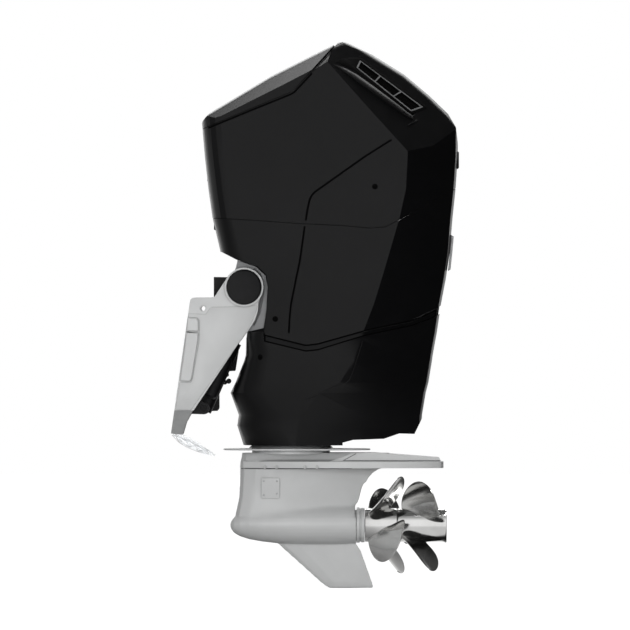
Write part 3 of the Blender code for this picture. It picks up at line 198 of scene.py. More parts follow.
def make_finishes(looks):
    """Every finish, named for the real material and how its surface was made."""
    # sprayed satin lacquer over a moulded cowl: near black, a soft even sheen, faint orange peel
    surface("satin_black_lacquer", looks.cowl_colour, 0.3, ior=1.29, mottle=("#0D0D0E", 220.0, 0.5),
            grain=(2.4, 0.006), smudge=0.02)
    # moulded glass-filled nylon: a matt spark-eroded texture, a shade lighter on worn edges
    surface("moulded_black_nylon", "#0E0E0F", 0.52, ior=1.36, mottle=("#18181A", 40.0, 0.5),
            grain=(0.9, 0.05), wear=("#242426", 0.5))
    # marine enamel sprayed over a sand-cast aluminium leg: even silver grey with a fine metal flake, and
    # shade painted darker into its corners
    surface("silver_marine_enamel", looks.enamel_colour, 0.36, metallic=0.1, mottle=("#BCBDBD", 160.0, 0.55),
            grain=(1.6, 0.016), smudge=0.04, corner_shade=("#5E5F5F", 0.6))
    # the same enamel in a darker grey, with more of the casting's texture left, and shade painted into its
    # corners
    surface("grey_marine_enamel", "#8F9091", 0.4, metallic=0.12, mottle=("#7F8081", 120.0, 0.55),
            grain=(1.6, 0.02), corner_shade=("#4B4B4C", 0.5))
    # black enamel over a rough sand casting: the grit of the mould still shows through
    surface("black_enamel_casting", "#0D0D0E", 0.48, ior=1.36, mottle=("#161617", 55.0, 0.6),
            grain=(1.8, 0.12), wear=("#2A2A2C", 0.5))
    # as-cast aluminium, shot blasted: pale, matt and slightly sparkling, with shade painted into its corners
    surface("blasted_aluminium", "#A9ABAE", 0.42, metallic=1.0, mottle=("#8C8E92", 70.0, 0.6),
            grain=(1.2, 0.05), corner_shade=("#3A3A3B", 0.5))
    # zinc anode alloy: dull, chalky and cool grey
    surface("cast_zinc_alloy", looks.anode_colour, 0.55, metallic=0.25, mottle=("#858687", 30.0, 0.6),
            grain=(1.1, 0.06))
    # investment-cast stainless steel, buffed to a mirror, with the faint haze of the wheel
    surface("buffed_stainless", "#E2E2E1", looks.steel_roughness, metallic=1.0, mottle=("#D2D1CF", 90.0, 0.5),
            grain=(30.0, 0.05), smudge=0.03)
    # ground and hard-chromed steel: fine lines across a shaft that lies along the boat
    surface("ground_steel", "#B4B5B8", 0.24, metallic=1.0, brushed=("Y", 0.6, 0.006), smudge=0.05)
    # turned steel, linished along its length: lines coarser and duller than grinding leaves
    surface("turned_steel", "#9FA0A3", 0.3, metallic=1.0, brushed=("Z", 0.8, 0.01), smudge=0.05)
    # plated screw heads: small, fairly sharp glints
    surface("plated_steel", "#B9BABC", 0.3, metallic=1.0, mottle=("#8F9093", 6.0, 0.5), grain=(0.8, 0.02))
    # black oxide on steel: dark, with a dull oiled sheen
    surface("black_oxide_steel", "#080808", 0.42, ior=1.3, mottle=("#101011", 8.0, 0.5), grain=(0.8, 0.03))
    # solid EPDM rubber: soft, matt and a little dusty
    surface("epdm_rubber", "#0A0A0A", 0.72, ior=1.3, mottle=("#161616", 25.0, 0.6), grain=(0.7, 0.04))
    # moulded polycarbonate: clear, so that its edges and ribs are all that shows
    surface("clear_polycarbonate", "#F6F7F8", 0.12, ior=1.2, mottle=("#EEF0F2", 25.0, 0.6), grain=(3.0, 0.02),
            clear=0.96)
    # cured sealant squeezed out of a joint: dark grey and matt
    surface("joint_sealant", "#5A5B5C", 0.6, mottle=("#4A4B4C", 12.0, 0.6), grain=(1.0, 0.03))
    # the moulded ribs of the clear blades, painted mid grey as the shade along their edges, where light is
    # lost along them
    surface("painted_rib_shade", "#5C5E60", 0.5, ior=1.35, mottle=("#4C4E50", 12.0, 0.5), grain=(1.0, 0.02))
    # silver lacquer on the moulded vent frames
    surface("silver_lacquer", "#A4A5A6", 0.3, metallic=0.55, mottle=("#8D8E8F", 30.0, 0.5), grain=(0.9, 0.01))
    # dyed-through mesh, and the near black painted into the bottoms of gaps as their shade: almost no sheen
    # at all
    surface("black_mesh_and_gap_shade", "#030303", 0.7, ior=1.12, mottle=("#090909", 6.0, 0.6), grain=(1.5, 0.08))


def both(names):
    """Names given once, with a star where the side goes, as the names of single nodes."""
    return [name.replace("*", side) for name in names for side in (SIDES if "*" in name else [""])]


FINISH_NODES = {
    "satin_black_lacquer": ("upper_cowl", "service_hatch", "*_lower_cowl", "*_mid_cover"),
    "moulded_black_nylon": ("service_tray", "oil_filler_cap", "*_pivot_cap", "trim_reservoir", "*_cam_cover",
                            "steering_actuator", "intake_plenum", "engine_control_box"),
    "epdm_rubber": ("cowl_seal", "hatch_seal", "drive_belt"),
    # the waist seal sits deep in its seam and is coloured near black, as painted shade in the gap
    "black_mesh_and_gap_shade": ("waist_seal",),
    "silver_lacquer": ("*_air_vent", "rear_grip_plate"),
    "silver_marine_enamel": ("*_clamp_bracket", "gearcase_upper", "gearcase_lower", "splash_plate",
                             "bearing_carrier", "*_intake_cover"),
    "grey_marine_enamel": ("swivel_housing", "steering_bearing_ring"),
    "cast_zinc_alloy": ("*_bracket_anode",),
    "clear_polycarbonate": ("*_spray_blade",),
    "black_enamel_casting": ("ram_anchor", "swivel_front_block", "tilt_cylinder", "middle_section",
                             "*_exhaust_manifold", "oil_filter"),
    "black_oxide_steel": ("lower_ram_pin",),
    "blasted_aluminium": ("transmission_case", "engine_block", "*_cylinder_head", "alternator"),
    "ground_steel": ("tilt_tube", "tilt_ram_rod", "inner_propeller_shaft", "outer_propeller_shaft",
                     "front_propeller_nut"),
    "turned_steel": ("crankshaft_and_flywheel", "drive_shaft_and_pinion"),
    "plated_steel": ("rear_propeller_nut",),
    "buffed_stainless": ("rear_propeller", "front_propeller"),
}
NODE_FINISH = {node: finish for finish, names in FINISH_NODES.items() for node in both(names)}


# ---------------------------------------------------------------- modelling
def only(*objects):
    """Selects these objects and nothing else."""
    if bpy.context.object and bpy.context.object.mode != "OBJECT":
        bpy.ops.object.mode_set(mode="OBJECT")
    bpy.ops.object.select_all(action="DESELECT")
    for o in objects:
        o.select_set(True)
    bpy.context.view_layer.objects.active = objects[0]


def modified(o, kind, **settings):
    """Adds one modifier and applies it."""
    only(o)
    modifier = o.modifiers.new(kind.title(), kind)
    for name, value in settings.items():
        setattr(modifier, name, value)
    bpy.ops.object.modifier_apply(modifier=modifier.name)
    return o


def coated(o, finish):
    """Gives every face of an object one finish."""
    o.data.materials.clear()
    o.data.materials.append(FINISHES[finish])
    for face in o.data.polygons:
        face.material_index = 0
    return o


def fitted(o, name, body, finish, smooth=32.0):
    """Names, coats and rides a finished piece, its place kept in its mesh."""
    only(o)
    bpy.ops.object.transform_apply(location=True, rotation=True, scale=True)
    bpy.ops.object.shade_smooth_by_angle(angle=math.radians(smooth))
    o.name = o.data.name = name
    coated(o, finish)
    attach(o, body)
    return o


def merged_copy(node, name):
    """A copy of a CAD node's mesh with its loose triangles joined and its flat faces made whole."""
    copy = bpy.data.objects.new(name, NODES[node].data.copy())
    bpy.context.scene.collection.objects.link(copy)
    only(copy)
    bpy.ops.object.mode_set(mode="EDIT")
    bpy.ops.mesh.select_all(action="SELECT")
    bpy.ops.mesh.remove_doubles(threshold=2e-5)
    bpy.ops.mesh.customdata_custom_splitnormals_clear()
    bpy.ops.mesh.dissolve_limited(angle_limit=math.radians(0.4))
    bpy.ops.object.mode_set(mode="OBJECT")
    return copy


def weighted(o, sharp, chosen):
    """Marks the outer edges that chosen(middle, normal, normal) picks out, for a bevel of their own."""
    mesh = o.data
    tree = BVHTree.FromPolygons([v.co for v in mesh.vertices], [p.vertices for p in mesh.polygons])
    sides = {}
    for face in mesh.polygons:
        for key in face.edge_keys:
            sides.setdefault(key, []).append(face)
    weight = mesh.attributes.new("bevel_weight_edge", "FLOAT", "EDGE")
    for edge in mesh.edges:
        faces = sides.get(edge.key, [])
        if len(faces) != 2 or faces[0].normal.angle(faces[1].normal, 0.0) < math.radians(sharp):
            continue
        ends = [mesh.vertices[i].co for i in edge.vertices]
        middle = (ends[0] + ends[1]) / 2
        out = (faces[0].normal + faces[1].normal).normalized()
        covered = tree.ray_cast(middle + out * 0.2 * MM, out)[0] is not None
        if not covered and chosen(middle, faces[0].normal, faces[1].normal):
            weight.data[edge.index].value = 1.0


def softened(node, bevel, sharp=38.0, segments=2, cutters=(), broad=None):
    """A node's copy with its edges rounded over, shown in the node's place.

    bevel is in mm and sharp in degrees. broad is (bevel in mm, test): the outer edges that pass the test are
    rounded first, and more widely.
    """
    piece = merged_copy(node, node + "_skin")
    if broad:
        width, chosen = broad
        weighted(piece, sharp, chosen)
        modified(piece, "BEVEL", width=width * MM, segments=3, limit_method="WEIGHT", use_clamp_overlap=False)
        piece.data.attributes.remove(piece.data.attributes["bevel_weight_edge"])
    for cutter in cutters:
        subtracted(piece, cutter)
    modified(piece, "BEVEL", width=bevel * MM, segments=segments, limit_method="ANGLE",
             angle_limit=math.radians(sharp))
    fitted(piece, node + "_skin", BODY_OF[node], NODE_FINISH[node], 34.0)
    modified(piece, "WEIGHTED_NORMAL", keep_sharp=True, weight=60)
    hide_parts(node)


def cast(node, grid, rounds, blend_rounds, blended):
    """A node's copy with cast fillets: its surface is remade on an even grid, in mm, and relaxed.

    The places that pass the test called blended are relaxed further, for a wide fillet.
    """
    piece = merged_copy(node, node + "_casting")
    modified(piece, "REMESH", mode="VOXEL", voxel_size=grid * MM)
    group = piece.vertex_groups.new(name="blend")
    group.add([v.index for v in piece.data.vertices if blended(v.co)], 1.0, "REPLACE")
    modified(piece, "SMOOTH", factor=0.5, iterations=blend_rounds, vertex_group="blend")
    piece.vertex_groups.clear()
    modified(piece, "SMOOTH", factor=0.5, iterations=rounds)
    modified(piece, "DECIMATE", ratio=0.5)
    fitted(piece, node + "_casting", BODY_OF[node], NODE_FINISH[node], 60.0)
    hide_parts(node)


TREES = {}
FAR_ABEAM = 2.0  # well outside the motor, in metres


def on_surface(node, x, z, side):
    """The place and outward normal where a line across the boat first meets a node."""
    if node not in TREES:
        mesh = NODES[node].data
        TREES[node] = BVHTree.FromPolygons([v.co for v in mesh.vertices], [p.vertices for p in mesh.polygons])
    start, inward = Vector((x, side * FAR_ABEAM, z)), Vector((0.0, -side, 0.0))
    place, normal, _, _ = TREES[node].ray_cast(start, inward)
    if place is None:
        raise RuntimeError(f"nothing of {node} at {x:.3f}, {z:.3f}")
    return place, normal


def at_px(px, py):
    """The x and height, in metres, of a place measured on the side view."""
    return (STEP * px - ORIGIN_X) * MM, (ORIGIN_Z - STEP * py) * MM


def laid(outline, y):
    """Places at one distance abeam, in metres, under an outline drawn on the side view."""
    return [Vector((at_px(px, py)[0], y, at_px(px, py)[1])) for px, py in outline]


def faced_out(o):
    """Turns every face of a closed mesh outwards."""
    only(o)
    bpy.ops.object.mode_set(mode="EDIT")
    bpy.ops.mesh.select_all(action="SELECT")
    bpy.ops.mesh.normals_make_consistent(inside=False)
    bpy.ops.object.mode_set(mode="OBJECT")
    return o


def plate(outline, deep, bevel=0.8, segments=2):
    """A flat plate cut to an outline and pushed out along deep, with its edges softened by bevel, in mm."""
    bpy.ops.object.select_all(action="DESELECT")
    bpy.ops.mesh.primitive_circle_add(vertices=len(outline), radius=0.01, fill_type="NGON")
    o = bpy.context.object
    for vertex, place in zip(o.data.vertices, outline):
        vertex.co = place
    bpy.ops.object.mode_set(mode="EDIT")
    bpy.ops.mesh.select_all(action="SELECT")
    bpy.ops.mesh.extrude_region_move(TRANSFORM_OT_translate={"value": tuple(deep)})
    faced_out(o)
    if bevel:
        modified(o, "BEVEL", width=bevel * MM, segments=segments, limit_method="ANGLE",
                 angle_limit=math.radians(30.0))
    return o


def lathe(profile, steps=48):
    """A solid turned about Z from (height, radius) pairs in mm."""
    bpy.ops.object.select_all(action="DESELECT")
    bpy.ops.mesh.primitive_circle_add(vertices=steps, radius=profile[0][1] * MM, fill_type="NGON",
                                      location=(0.0, 0.0, profile[0][0] * MM))
    o = bpy.context.object
    bpy.ops.object.mode_set(mode="EDIT")
    bpy.ops.mesh.select_all(action="SELECT")
    for (z0, r0), (z1, r1) in zip(profile, profile[1:]):
        bpy.ops.mesh.extrude_region_move(TRANSFORM_OT_translate={"value": (0.0, 0.0, (z1 - z0) * MM)})
        if abs(r1 - r0) > 1e-6:
            bpy.ops.transform.resize(value=(r1 / r0, r1 / r0, 1.0), center_override=(0.0, 0.0, z1 * MM))
    faced_out(o)
    bpy.ops.object.transform_apply(location=True, rotation=True, scale=True)
    return o


def placed(o, place, normal, turn=0.0):
    """Stands an object's Z along a normal at a place, and applies it to the mesh."""
    aim = Vector(normal).to_track_quat("Z", "Y").to_matrix().to_4x4()
    o.data.transform(Matrix.Translation(place) @ aim @ Matrix.Rotation(turn, 4, "Z"))
    return o


def twin(o):
    """A copy with a mesh of its own."""
    copy = bpy.data.objects.new(o.name, o.data.copy())
    bpy.context.scene.collection.objects.link(copy)
    return copy


def joined(objects):
    """Several objects made one."""
    only(*objects)
    if len(objects) > 1:
        bpy.ops.object.join()
    return objects[0]


def subtracted(o, cutter):
    """Cuts one object out of another and removes the cutter."""
    modified(o, "BOOLEAN", object=cutter, operation="DIFFERENCE", solver="EXACT")
    bpy.data.objects.remove(cutter)
    return o


def screw_head(radius, height):
    """A button head with a hexagon socket, standing on Z."""
    head = lathe([(-0.6, radius), (height * 0.45, radius), (height * 0.8, radius * 0.86),
                  (height, radius * 0.6)], 20)
    bpy.ops.mesh.primitive_cylinder_add(vertices=6, radius=radius * 0.46 * MM, depth=height * MM,
                                        location=(0.0, 0.0, height * MM))
    return subtracted(head, bpy.context.object)


def screws(name, spots, body, finish, radius, height):
    """One piece of like screw heads, one at each (place, normal), each turned a little from the last."""
    first = screw_head(radius, height)
    heads = [placed(twin(first), place, normal, 0.4 * number) for number, (place, normal) in enumerate(spots)]
    bpy.data.objects.remove(first)
    fitted(joined(heads), name, body, finish, 30.0)


def tube(points, radius, closed=False, steps=3):
    """A mesh tube along points, its radius in metres."""
    curve = bpy.data.curves.new("run", "CURVE")
    curve.dimensions = "3D"
    curve.bevel_depth = radius
    curve.bevel_resolution = steps
    curve.use_fill_caps = True
    spline = curve.splines.new("POLY")
    spline.points.add(len(points) - 1)
    for point, place in zip(spline.points, points):
        point.co = (*place, 1.0)
    spline.use_cyclic_u = closed
    o = bpy.data.objects.new("run", curve)
    bpy.context.scene.collection.objects.link(o)
    only(o)
    bpy.ops.object.convert(target="MESH")
    return bpy.context.object


def along(line, spacing):
    """Places every spacing along a line of pairs."""
    out = []
    for (ax, az), (bx, bz) in zip(line, line[1:]):
        count = max(1, round(math.hypot(bx - ax, bz - az) / spacing))
        out += [(ax + (bx - ax) * i / count, az + (bz - az) * i / count) for i in range(count)]
    return out + [line[-1]]


# ---------------------------------------------------------------- settings
class OutboardLooks(bpy.types.PropertyGroup):
    cowl_colour: bpy.props.StringProperty(
        name="Cowl colour", description="Lacquer on the cowls, as sRGB hex", default="#0A0A0B")
    enamel_colour: bpy.props.StringProperty(
        name="Leg enamel", description="Enamel on the brackets and gearcase, as sRGB hex", default="#C6C7C7")
    anode_colour: bpy.props.StringProperty(
        name="Anode colour", description="Bare anode alloy, as sRGB hex", default="#929393")
    steel_roughness: bpy.props.FloatProperty(
        name="Propeller polish", description="Roughness of the propellers", default=0.14, min=0.02, max=0.6)
    line_width: bpy.props.FloatProperty(
        name="Body line width", description="Width of the grooves pressed into the cowl's side",
        default=0.0086, unit="LENGTH", min=0.001, max=0.02)


# ---------------------------------------------------------------- the stage
def softbox(name, place, aim, width, height, radiance, glossy=True):
    """An area lamp of a known radiance, facing a point."""
    lamp = bpy.data.lights.new(name, "AREA")
    lamp.shape = "RECTANGLE"
    lamp.size, lamp.size_y = width, height
    lamp.energy = radiance * math.pi * width * height
    o = bpy.data.objects.new(name, lamp)
    o.location = place
    o.rotation_euler = (Vector(aim) - Vector(place)).to_track_quat("-Z", "Y").to_euler()
    o.visible_camera = False
    o.visible_glossy = glossy
    bpy.context.scene.collection.objects.link(o)
    return o


def levels(tree, value, steps):
    """A brightness that follows a value from -1 to 1, through steps of (place from 0 to 1, level)."""
    turned = add(tree, "ShaderNodeMapRange", {"Value": value, "From Min": -1.0, "From Max": 1.0})
    ramp = add(tree, "ShaderNodeValToRGB", {"Fac": turned.outputs["Result"]})
    ends = ramp.color_ramp.elements
    for element, (spot, level) in ((ends[0], steps[0]), (ends[1], steps[-1])):
        element.position, element.color = spot, (level, level, level, 1.0)
    for spot, level in steps[1:-1]:
        ends.new(spot).color = (level, level, level, 1.0)
    return ramp.outputs["Color"]


# brightness from ahead (0) to astern (1): of the room, bright beside the camera, and of the sheet behind
ROOM = ((0.0, 0.3), (0.12, 0.5), (0.3, 0.8), (0.4, 1.0), (0.6, 1.0), (0.68, 0.25), (0.76, 0.03), (1.0, 0.01))
SHEET = ((0.0, 0.3), (0.15, 0.4), (0.34, 1.0), (0.6, 1.0), (0.725, 0.06), (1.0, 0.06))


def sheet_level(tree, way):
    """How much of the white sheet behind the motor shows in a direction, and how bright it is there."""
    behind = add(tree, "ShaderNodeMapRange", {
        "Value": way.outputs["Y"], "From Min": 0.22, "From Max": 0.6, "To Min": 0.0, "To Max": 1.0})
    return behind.outputs["Result"], levels(tree, way.outputs["X"], SHEET)


def studio_world():
    """White to the camera, a plain grey to matt surfaces, and a soft studio to shiny ones."""
    world = bpy.data.worlds.new("studio")
    bpy.context.scene.world = world
    world.use_nodes = True
    tree = world.node_tree
    tree.nodes.clear()
    path = add(tree, "ShaderNodeLightPath")
    way = add(tree, "ShaderNodeTexCoord").outputs["Generated"]
    split = add(tree, "ShaderNodeSeparateXYZ", {"Vector": way})
    behind, bright = sheet_level(tree, split)
    above = add(tree, "ShaderNodeMapRange", {
        "Value": split.outputs["Z"], "From Min": 0.55, "From Max": 0.8, "To Min": 1.0, "To Max": 0.4})
    level = add(tree, "ShaderNodeMath", {
        0: levels(tree, split.outputs["X"], ROOM), 1: above.outputs["Result"]}, operation="MULTIPLY")
    shine = add(tree, "ShaderNodeMix", {
        0: behind, 2: level.outputs[0], 3: bright}, data_type="FLOAT")
    matt = add(tree, "ShaderNodeMapRange", {
        "Value": split.outputs["Z"], "From Min": -0.4, "From Max": 0.3, "To Min": 0.2, "To Max": 0.26})
    strength = add(tree, "ShaderNodeMix", {
        0: path.outputs["Is Glossy Ray"], 2: matt.outputs["Result"], 3: shine.outputs[0]}, data_type="FLOAT")
    seen = add(tree, "ShaderNodeMix", {
        0: path.outputs["Is Camera Ray"], 2: strength.outputs[0], 3: 1.0}, data_type="FLOAT")
    clear = add(tree, "ShaderNodeMix", {
        0: path.outputs["Is Transmission Ray"], 2: seen.outputs[0], 3: 1.0}, data_type="FLOAT")
    background = add(tree, "ShaderNodeBackground", {
        "Color": (1.0, 1.0, 1.0, 1.0), "Strength": clear.outputs[0]})
    output = add(tree, "ShaderNodeOutputWorld")
    tree.links.new(background.outputs["Background"], output.inputs["Surface"])


def floor_finish():
    """Matt white sheet, lifted to white for the camera so that only the shadow stays grey."""
    made = bpy.data.materials.new("white_paper_sweep")
    made.use_nodes = True
    tree = made.node_tree
    tree.nodes.clear()
    path = add(tree, "ShaderNodeLightPath")
    place = add(tree, "ShaderNodeTexCoord").outputs["Object"]
    noise = add(tree, "ShaderNodeTexNoise", {"Vector": place, "Scale": 0.7 / MM, "Detail": 2.0})
    bump = add(tree, "ShaderNodeBump", {"Height": noise.outputs["Fac"], "Distance": 0.2 * MM})
    sheet = add(tree, "ShaderNodeBsdfDiffuse", {
        "Color": (0.5, 0.5, 0.5, 1.0), "Normal": bump.outputs["Normal"]})
    glow = add(tree, "ShaderNodeMath", {0: path.outputs["Is Camera Ray"], 1: 0.95}, operation="MULTIPLY")
    light = add(tree, "ShaderNodeEmission", {"Color": (1.0, 1.0, 1.0, 1.0), "Strength": glow.outputs[0]})
    lifted = add(tree, "ShaderNodeAddShader", {0: sheet.outputs[0], 1: light.outputs[0]})
    # for shiny surfaces the sheet glows with a painted reflection of the room and the sheet behind, dimmed
    # close to the motor as a painted shadow and brighter further out
    below = add(tree, "ShaderNodeVectorMath", {0: place, 1: (PROP_AXIS.x, 0.0, 0.0)}, operation="SUBTRACT")
    apart = add(tree, "ShaderNodeVectorMath", {0: below.outputs["Vector"]}, operation="LENGTH")
    spread = add(tree, "ShaderNodeMapRange", {
        "Value": apart.outputs["Value"], "From Min": 0.8, "From Max": 3.0, "To Min": 0.7, "To Max": 1.0})
    away = add(tree, "ShaderNodeVectorMath", {0: below.outputs["Vector"]}, operation="NORMALIZE")
    astern = add(tree, "ShaderNodeSeparateXYZ", {"Vector": away.outputs["Vector"]})
    glance = add(tree, "ShaderNodeMath", {
        0: levels(tree, astern.outputs["X"], ROOM), 1: spread.outputs["Result"]}, operation="MULTIPLY")
    behind, bright = sheet_level(tree, astern)
    shown = add(tree, "ShaderNodeMix", {0: behind, 2: glance.outputs[0], 3: bright}, data_type="FLOAT")
    # the sheet's glow for reflections: a painted reflection, with a painted shadow near the motor
    dim = add(tree, "ShaderNodeEmission", {"Color": (1.0, 1.0, 1.0, 1.0), "Strength": shown.outputs[0]})
    both_ways = add(tree, "ShaderNodeMixShader", {
        0: path.outputs["Is Glossy Ray"], 1: lifted.outputs[0], 2: dim.outputs[0]})
    output = add(tree, "ShaderNodeOutputMaterial")
    tree.links.new(both_ways.outputs[0], output.inputs["Surface"])
    return made


class OUTBOARD_OT_stage(bpy.types.Operator):
    """Add the floor, the lamps and the camera"""
    bl_idname = "outboard.stage"
    bl_label = "Stage"

    def execute(self, context):
        bpy.ops.object.select_all(action="DESELECT")
        under_skeg = CAD_BOX[0][2] - 4.0 * MM
        bpy.ops.mesh.primitive_grid_add(x_subdivisions=4, y_subdivisions=4, size=60.0,
                                        location=(0.0, 0.0, under_skeg))
        floor = context.object
        floor.name = "floor"
        floor.data.materials.append(floor_finish())
        studio_world()
        # each lamp's place, what it is aimed at, its width and height, and its radiance
        overhead = softbox("overhead", (0.1, -0.4, 4.0), (0.4, 0.0, 0.0), 3.2, 2.4, 7.6)
        rim = softbox("rim", (1.0, 3.2, 4.0), (0.4, 0.0, 0.6), 6.0, 3.4, 4.4)
        overhead.visible_diffuse = rim.visible_diffuse = False
        softbox("key", (-0.6, -6.5, -0.7), (0.4, 0.0, -0.3), 3.4, 3.4, 10.6, glossy=False)
        softbox("fill", (3.2, -4.5, 0.2), (0.4, 0.0, -0.4), 2.5, 2.5, 1.6, glossy=False)
        lens = bpy.data.cameras.new("camera")
        lens.lens = 600.0
        lens.sensor_width = 36.0
        lens.clip_end = 200.0
        camera = bpy.data.objects.new("camera", lens)
        context.scene.collection.objects.link(camera)
        centre_x, centre_z = at_px(VIEW_STEPS / 2, VIEW_STEPS / 2)
        reach = VIEW_STEPS * STEP * MM * lens.lens / lens.sensor_width
        camera.location = (centre_x, -reach, centre_z)
        camera.rotation_euler = (math.radians(90.0), 0.0, 0.0)
        context.scene.camera = camera
        context.scene.view_settings.view_transform = "Standard"
        return {"FINISHED"}


# lines pressed into the cowl's side, drawn on the side view: two runs of the long one, the one under the
# hatch, and the crease low on the mid cover
UPPER_LINE = [(391.0, 141.0), (386.0, 144.0), (364.0, 158.0), (315.0, 192.7), (311.5, 196.5), (309.6, 201.0),
              (307.4, 211.0), (305.9, 221.0)]
LOWER_LINE = [(304.8, 227.0), (303.0, 240.0), (300.0, 261.0), (296.0, 280.0), (291.0, 305.0), (289.6, 320.0),
              (289.0, 333.0)]
HATCH_LINE = [(209.0, 129.0), (250.0, 112.2), (291.4, 95.4), (295.0, 93.0), (312.0, 74.8)]
CREASE = [(362.0, 341.0), (358.3, 353.3), (352.0, 372.0), (349.0, 379.4), (344.0, 383.6), (330.0, 388.6),
          (318.0, 394.0), (306.7, 399.3)]
LINE_DEPTH = 3.2  # in mm, about half of the cowl's wall
CREASE_DEPTH = 1.4
BEAD_DEPTH, BEAD_RADIUS = 2.5, 2.1  # of the black bead that paints shade into the bottom of a pressed line, in mm
# each screw's panel and its place on the side view, and a spot on the shoulder clear of the air vent
COWL_SCREWS = (("upper_cowl", 374.5, 187.5), ("*_lower_cowl", 275.5, 319.0), ("*_mid_cover", 260.5, 357.0))
SHOULDER_SPOT = (400.0, 122.0)


def drawn_on(node, line, side, proud, spacing=2.5):
    """Places on a node's side under a line drawn on the side view, raised or sunk along the normal, in mm."""
    spots = [on_surface(node, *at_px(px, py), side) for px, py in along(line, spacing)]
    return [place + normal * proud * MM for place, normal in spots]


def body_line(node, line, side, width, deep=LINE_DEPTH):
    """The tool that presses a groove, its width in metres and depth in mm, along a line drawn on the side."""
    return tube(drawn_on(node, line, side, width / 2 / MM - deep), width / 2)


def line_shadow(name, node, line, side):
    """A black bead at the bottom of a pressed line, as painted shade in the groove."""
    bead = tube(drawn_on(node, line, side, -BEAD_DEPTH), BEAD_RADIUS * MM)
    fitted(bead, name, BODY_OF[node], "black_mesh_and_gap_shade")


def shoulder(side):
    """The plane of the sloping shoulder that the air vent sits in."""
    return on_surface("upper_cowl", *at_px(*SHOULDER_SPOT), side)


def on_shoulder(px, py, side, proud=0.0, sunk=0.0):
    """A place on the shoulder plane, raised along its normal or sunk straight into the cowl, in mm."""
    place, normal = shoulder(side)
    x, z = at_px(px, py)
    y = place.y - (normal.x * (x - place.x) + normal.z * (z - place.z)) / normal.y
    return Vector((x, y - side * sunk * MM, z)) + normal * proud * MM


def between(first, last, share):
    """The place at a share of the way from one pair to another."""
    return tuple(a + (b - a) * share for a, b in zip(first, last))


# the air vent, drawn on the shoulder's plane: the black plate round it, painted shade under the lip and round
# the frame, and the opening in it, the black plate behind the mesh, painted shade inside the vent, the drip
# edge below, and the lip, each corner with its height off the shoulder in mm
VENT_SHADE_OUTLINE = [(336.0, 63.4), (343.0, 59.4), (358.0, 58.4), (362.0, 59.6), (425.0, 106.4), (426.4, 109.4),
            (412.6, 114.6), (409.0, 114.0), (353.8, 71.4), (345.0, 67.6)]
VENT_OPENING = [(359.4, 60.6), (423.4, 107.6), (411.0, 112.9), (355.7, 69.0)]
VENT_BACK = [(359.6, 61.6), (422.4, 108.0), (411.0, 112.2), (356.4, 69.4)]
VENT_DRIP_EDGE = [(407.0, 126.2), (416.4, 120.6), (417.2, 121.8), (408.0, 127.4)]
VENT_LIP = [(333.0, 65.6, 0.6), (345.0, 69.6, 0.8), (357.0, 76.0, 0.8), (372.0, 86.4, 0.8),
            (388.0, 98.0, 0.8), (403.0, 109.2, 0.8), (412.6, 116.8, 0.8), (412.2, 121.0, 5.4),
            (404.0, 117.0, 6.4), (390.0, 107.4, 7.2), (374.0, 96.2, 7.2), (358.0, 84.6, 6.4),
            (345.0, 74.6, 4.0)]
# the lines that the mesh's wires end on: top and foot for the short ones, front and rear for the long ones
MESH_TOP, MESH_FOOT = ((360.0, 62.2), (420.6, 107.4)), ((357.4, 69.2), (410.8, 111.6))
MESH_FRONT, MESH_REAR = ((359.8, 62.8), (358.2, 69.2)), ((420.6, 107.0), (411.6, 110.8))
SHORT_WIRES = 26
# the frame's edges, and its three slots as shares of its length
FRAME_LOW, FRAME_HIGH = ((356.3, 68.75), (410.8, 112.25)), ((359.7, 61.25), (422.8, 107.75))
FRAME_SLOTS = ((0.022, 0.318), (0.338, 0.652), (0.672, 0.978))


def vent_slots(side):
    """The tools that open the slots through an air vent's frame."""
    slots = []
    for start, end in FRAME_SLOTS:
        corners = []
        for share, rise in ((start, 0.9), (end, 0.9), (end, 0.1), (start, 0.1)):
            spot = between(between(*FRAME_LOW, share), between(*FRAME_HIGH, share), rise)
            corners.append(on_shoulder(*spot, side, -60.0))
        slots.append(plate(corners, shoulder(side)[1] * 80.0 * MM, 0.0))
    return slots


def vent_mesh(name, side):
    """The crossed wires behind an air vent's frame, and the black plate behind them, painted shade inside the
    vent.
    """
    # the black plate behind the wires stands in for the vent's shaded inside: painted shade
    back = [on_shoulder(*spot, side, sunk=9.0) for spot in VENT_BACK]
    bars = [plate(back, (0.0, -side * 2.0 * MM, 0.0), 0.0)]
    wires = [(MESH_TOP, MESH_FOOT, (number + 0.5) / SHORT_WIRES, 8.4) for number in range(SHORT_WIRES)]
    wires += [(MESH_FRONT, MESH_REAR, share, 7.6) for share in (0.25, 0.5, 0.75)]
    for first, last, share, sunk in wires:
        ends = [on_shoulder(*between(*edge, share), side, sunk=sunk) for edge in (first, last)]
        bars.append(tube(ends, 1.2 * MM, steps=1))
    fitted(joined(bars), name + "_vent_mesh", "upper_cowl", "black_mesh_and_gap_shade")


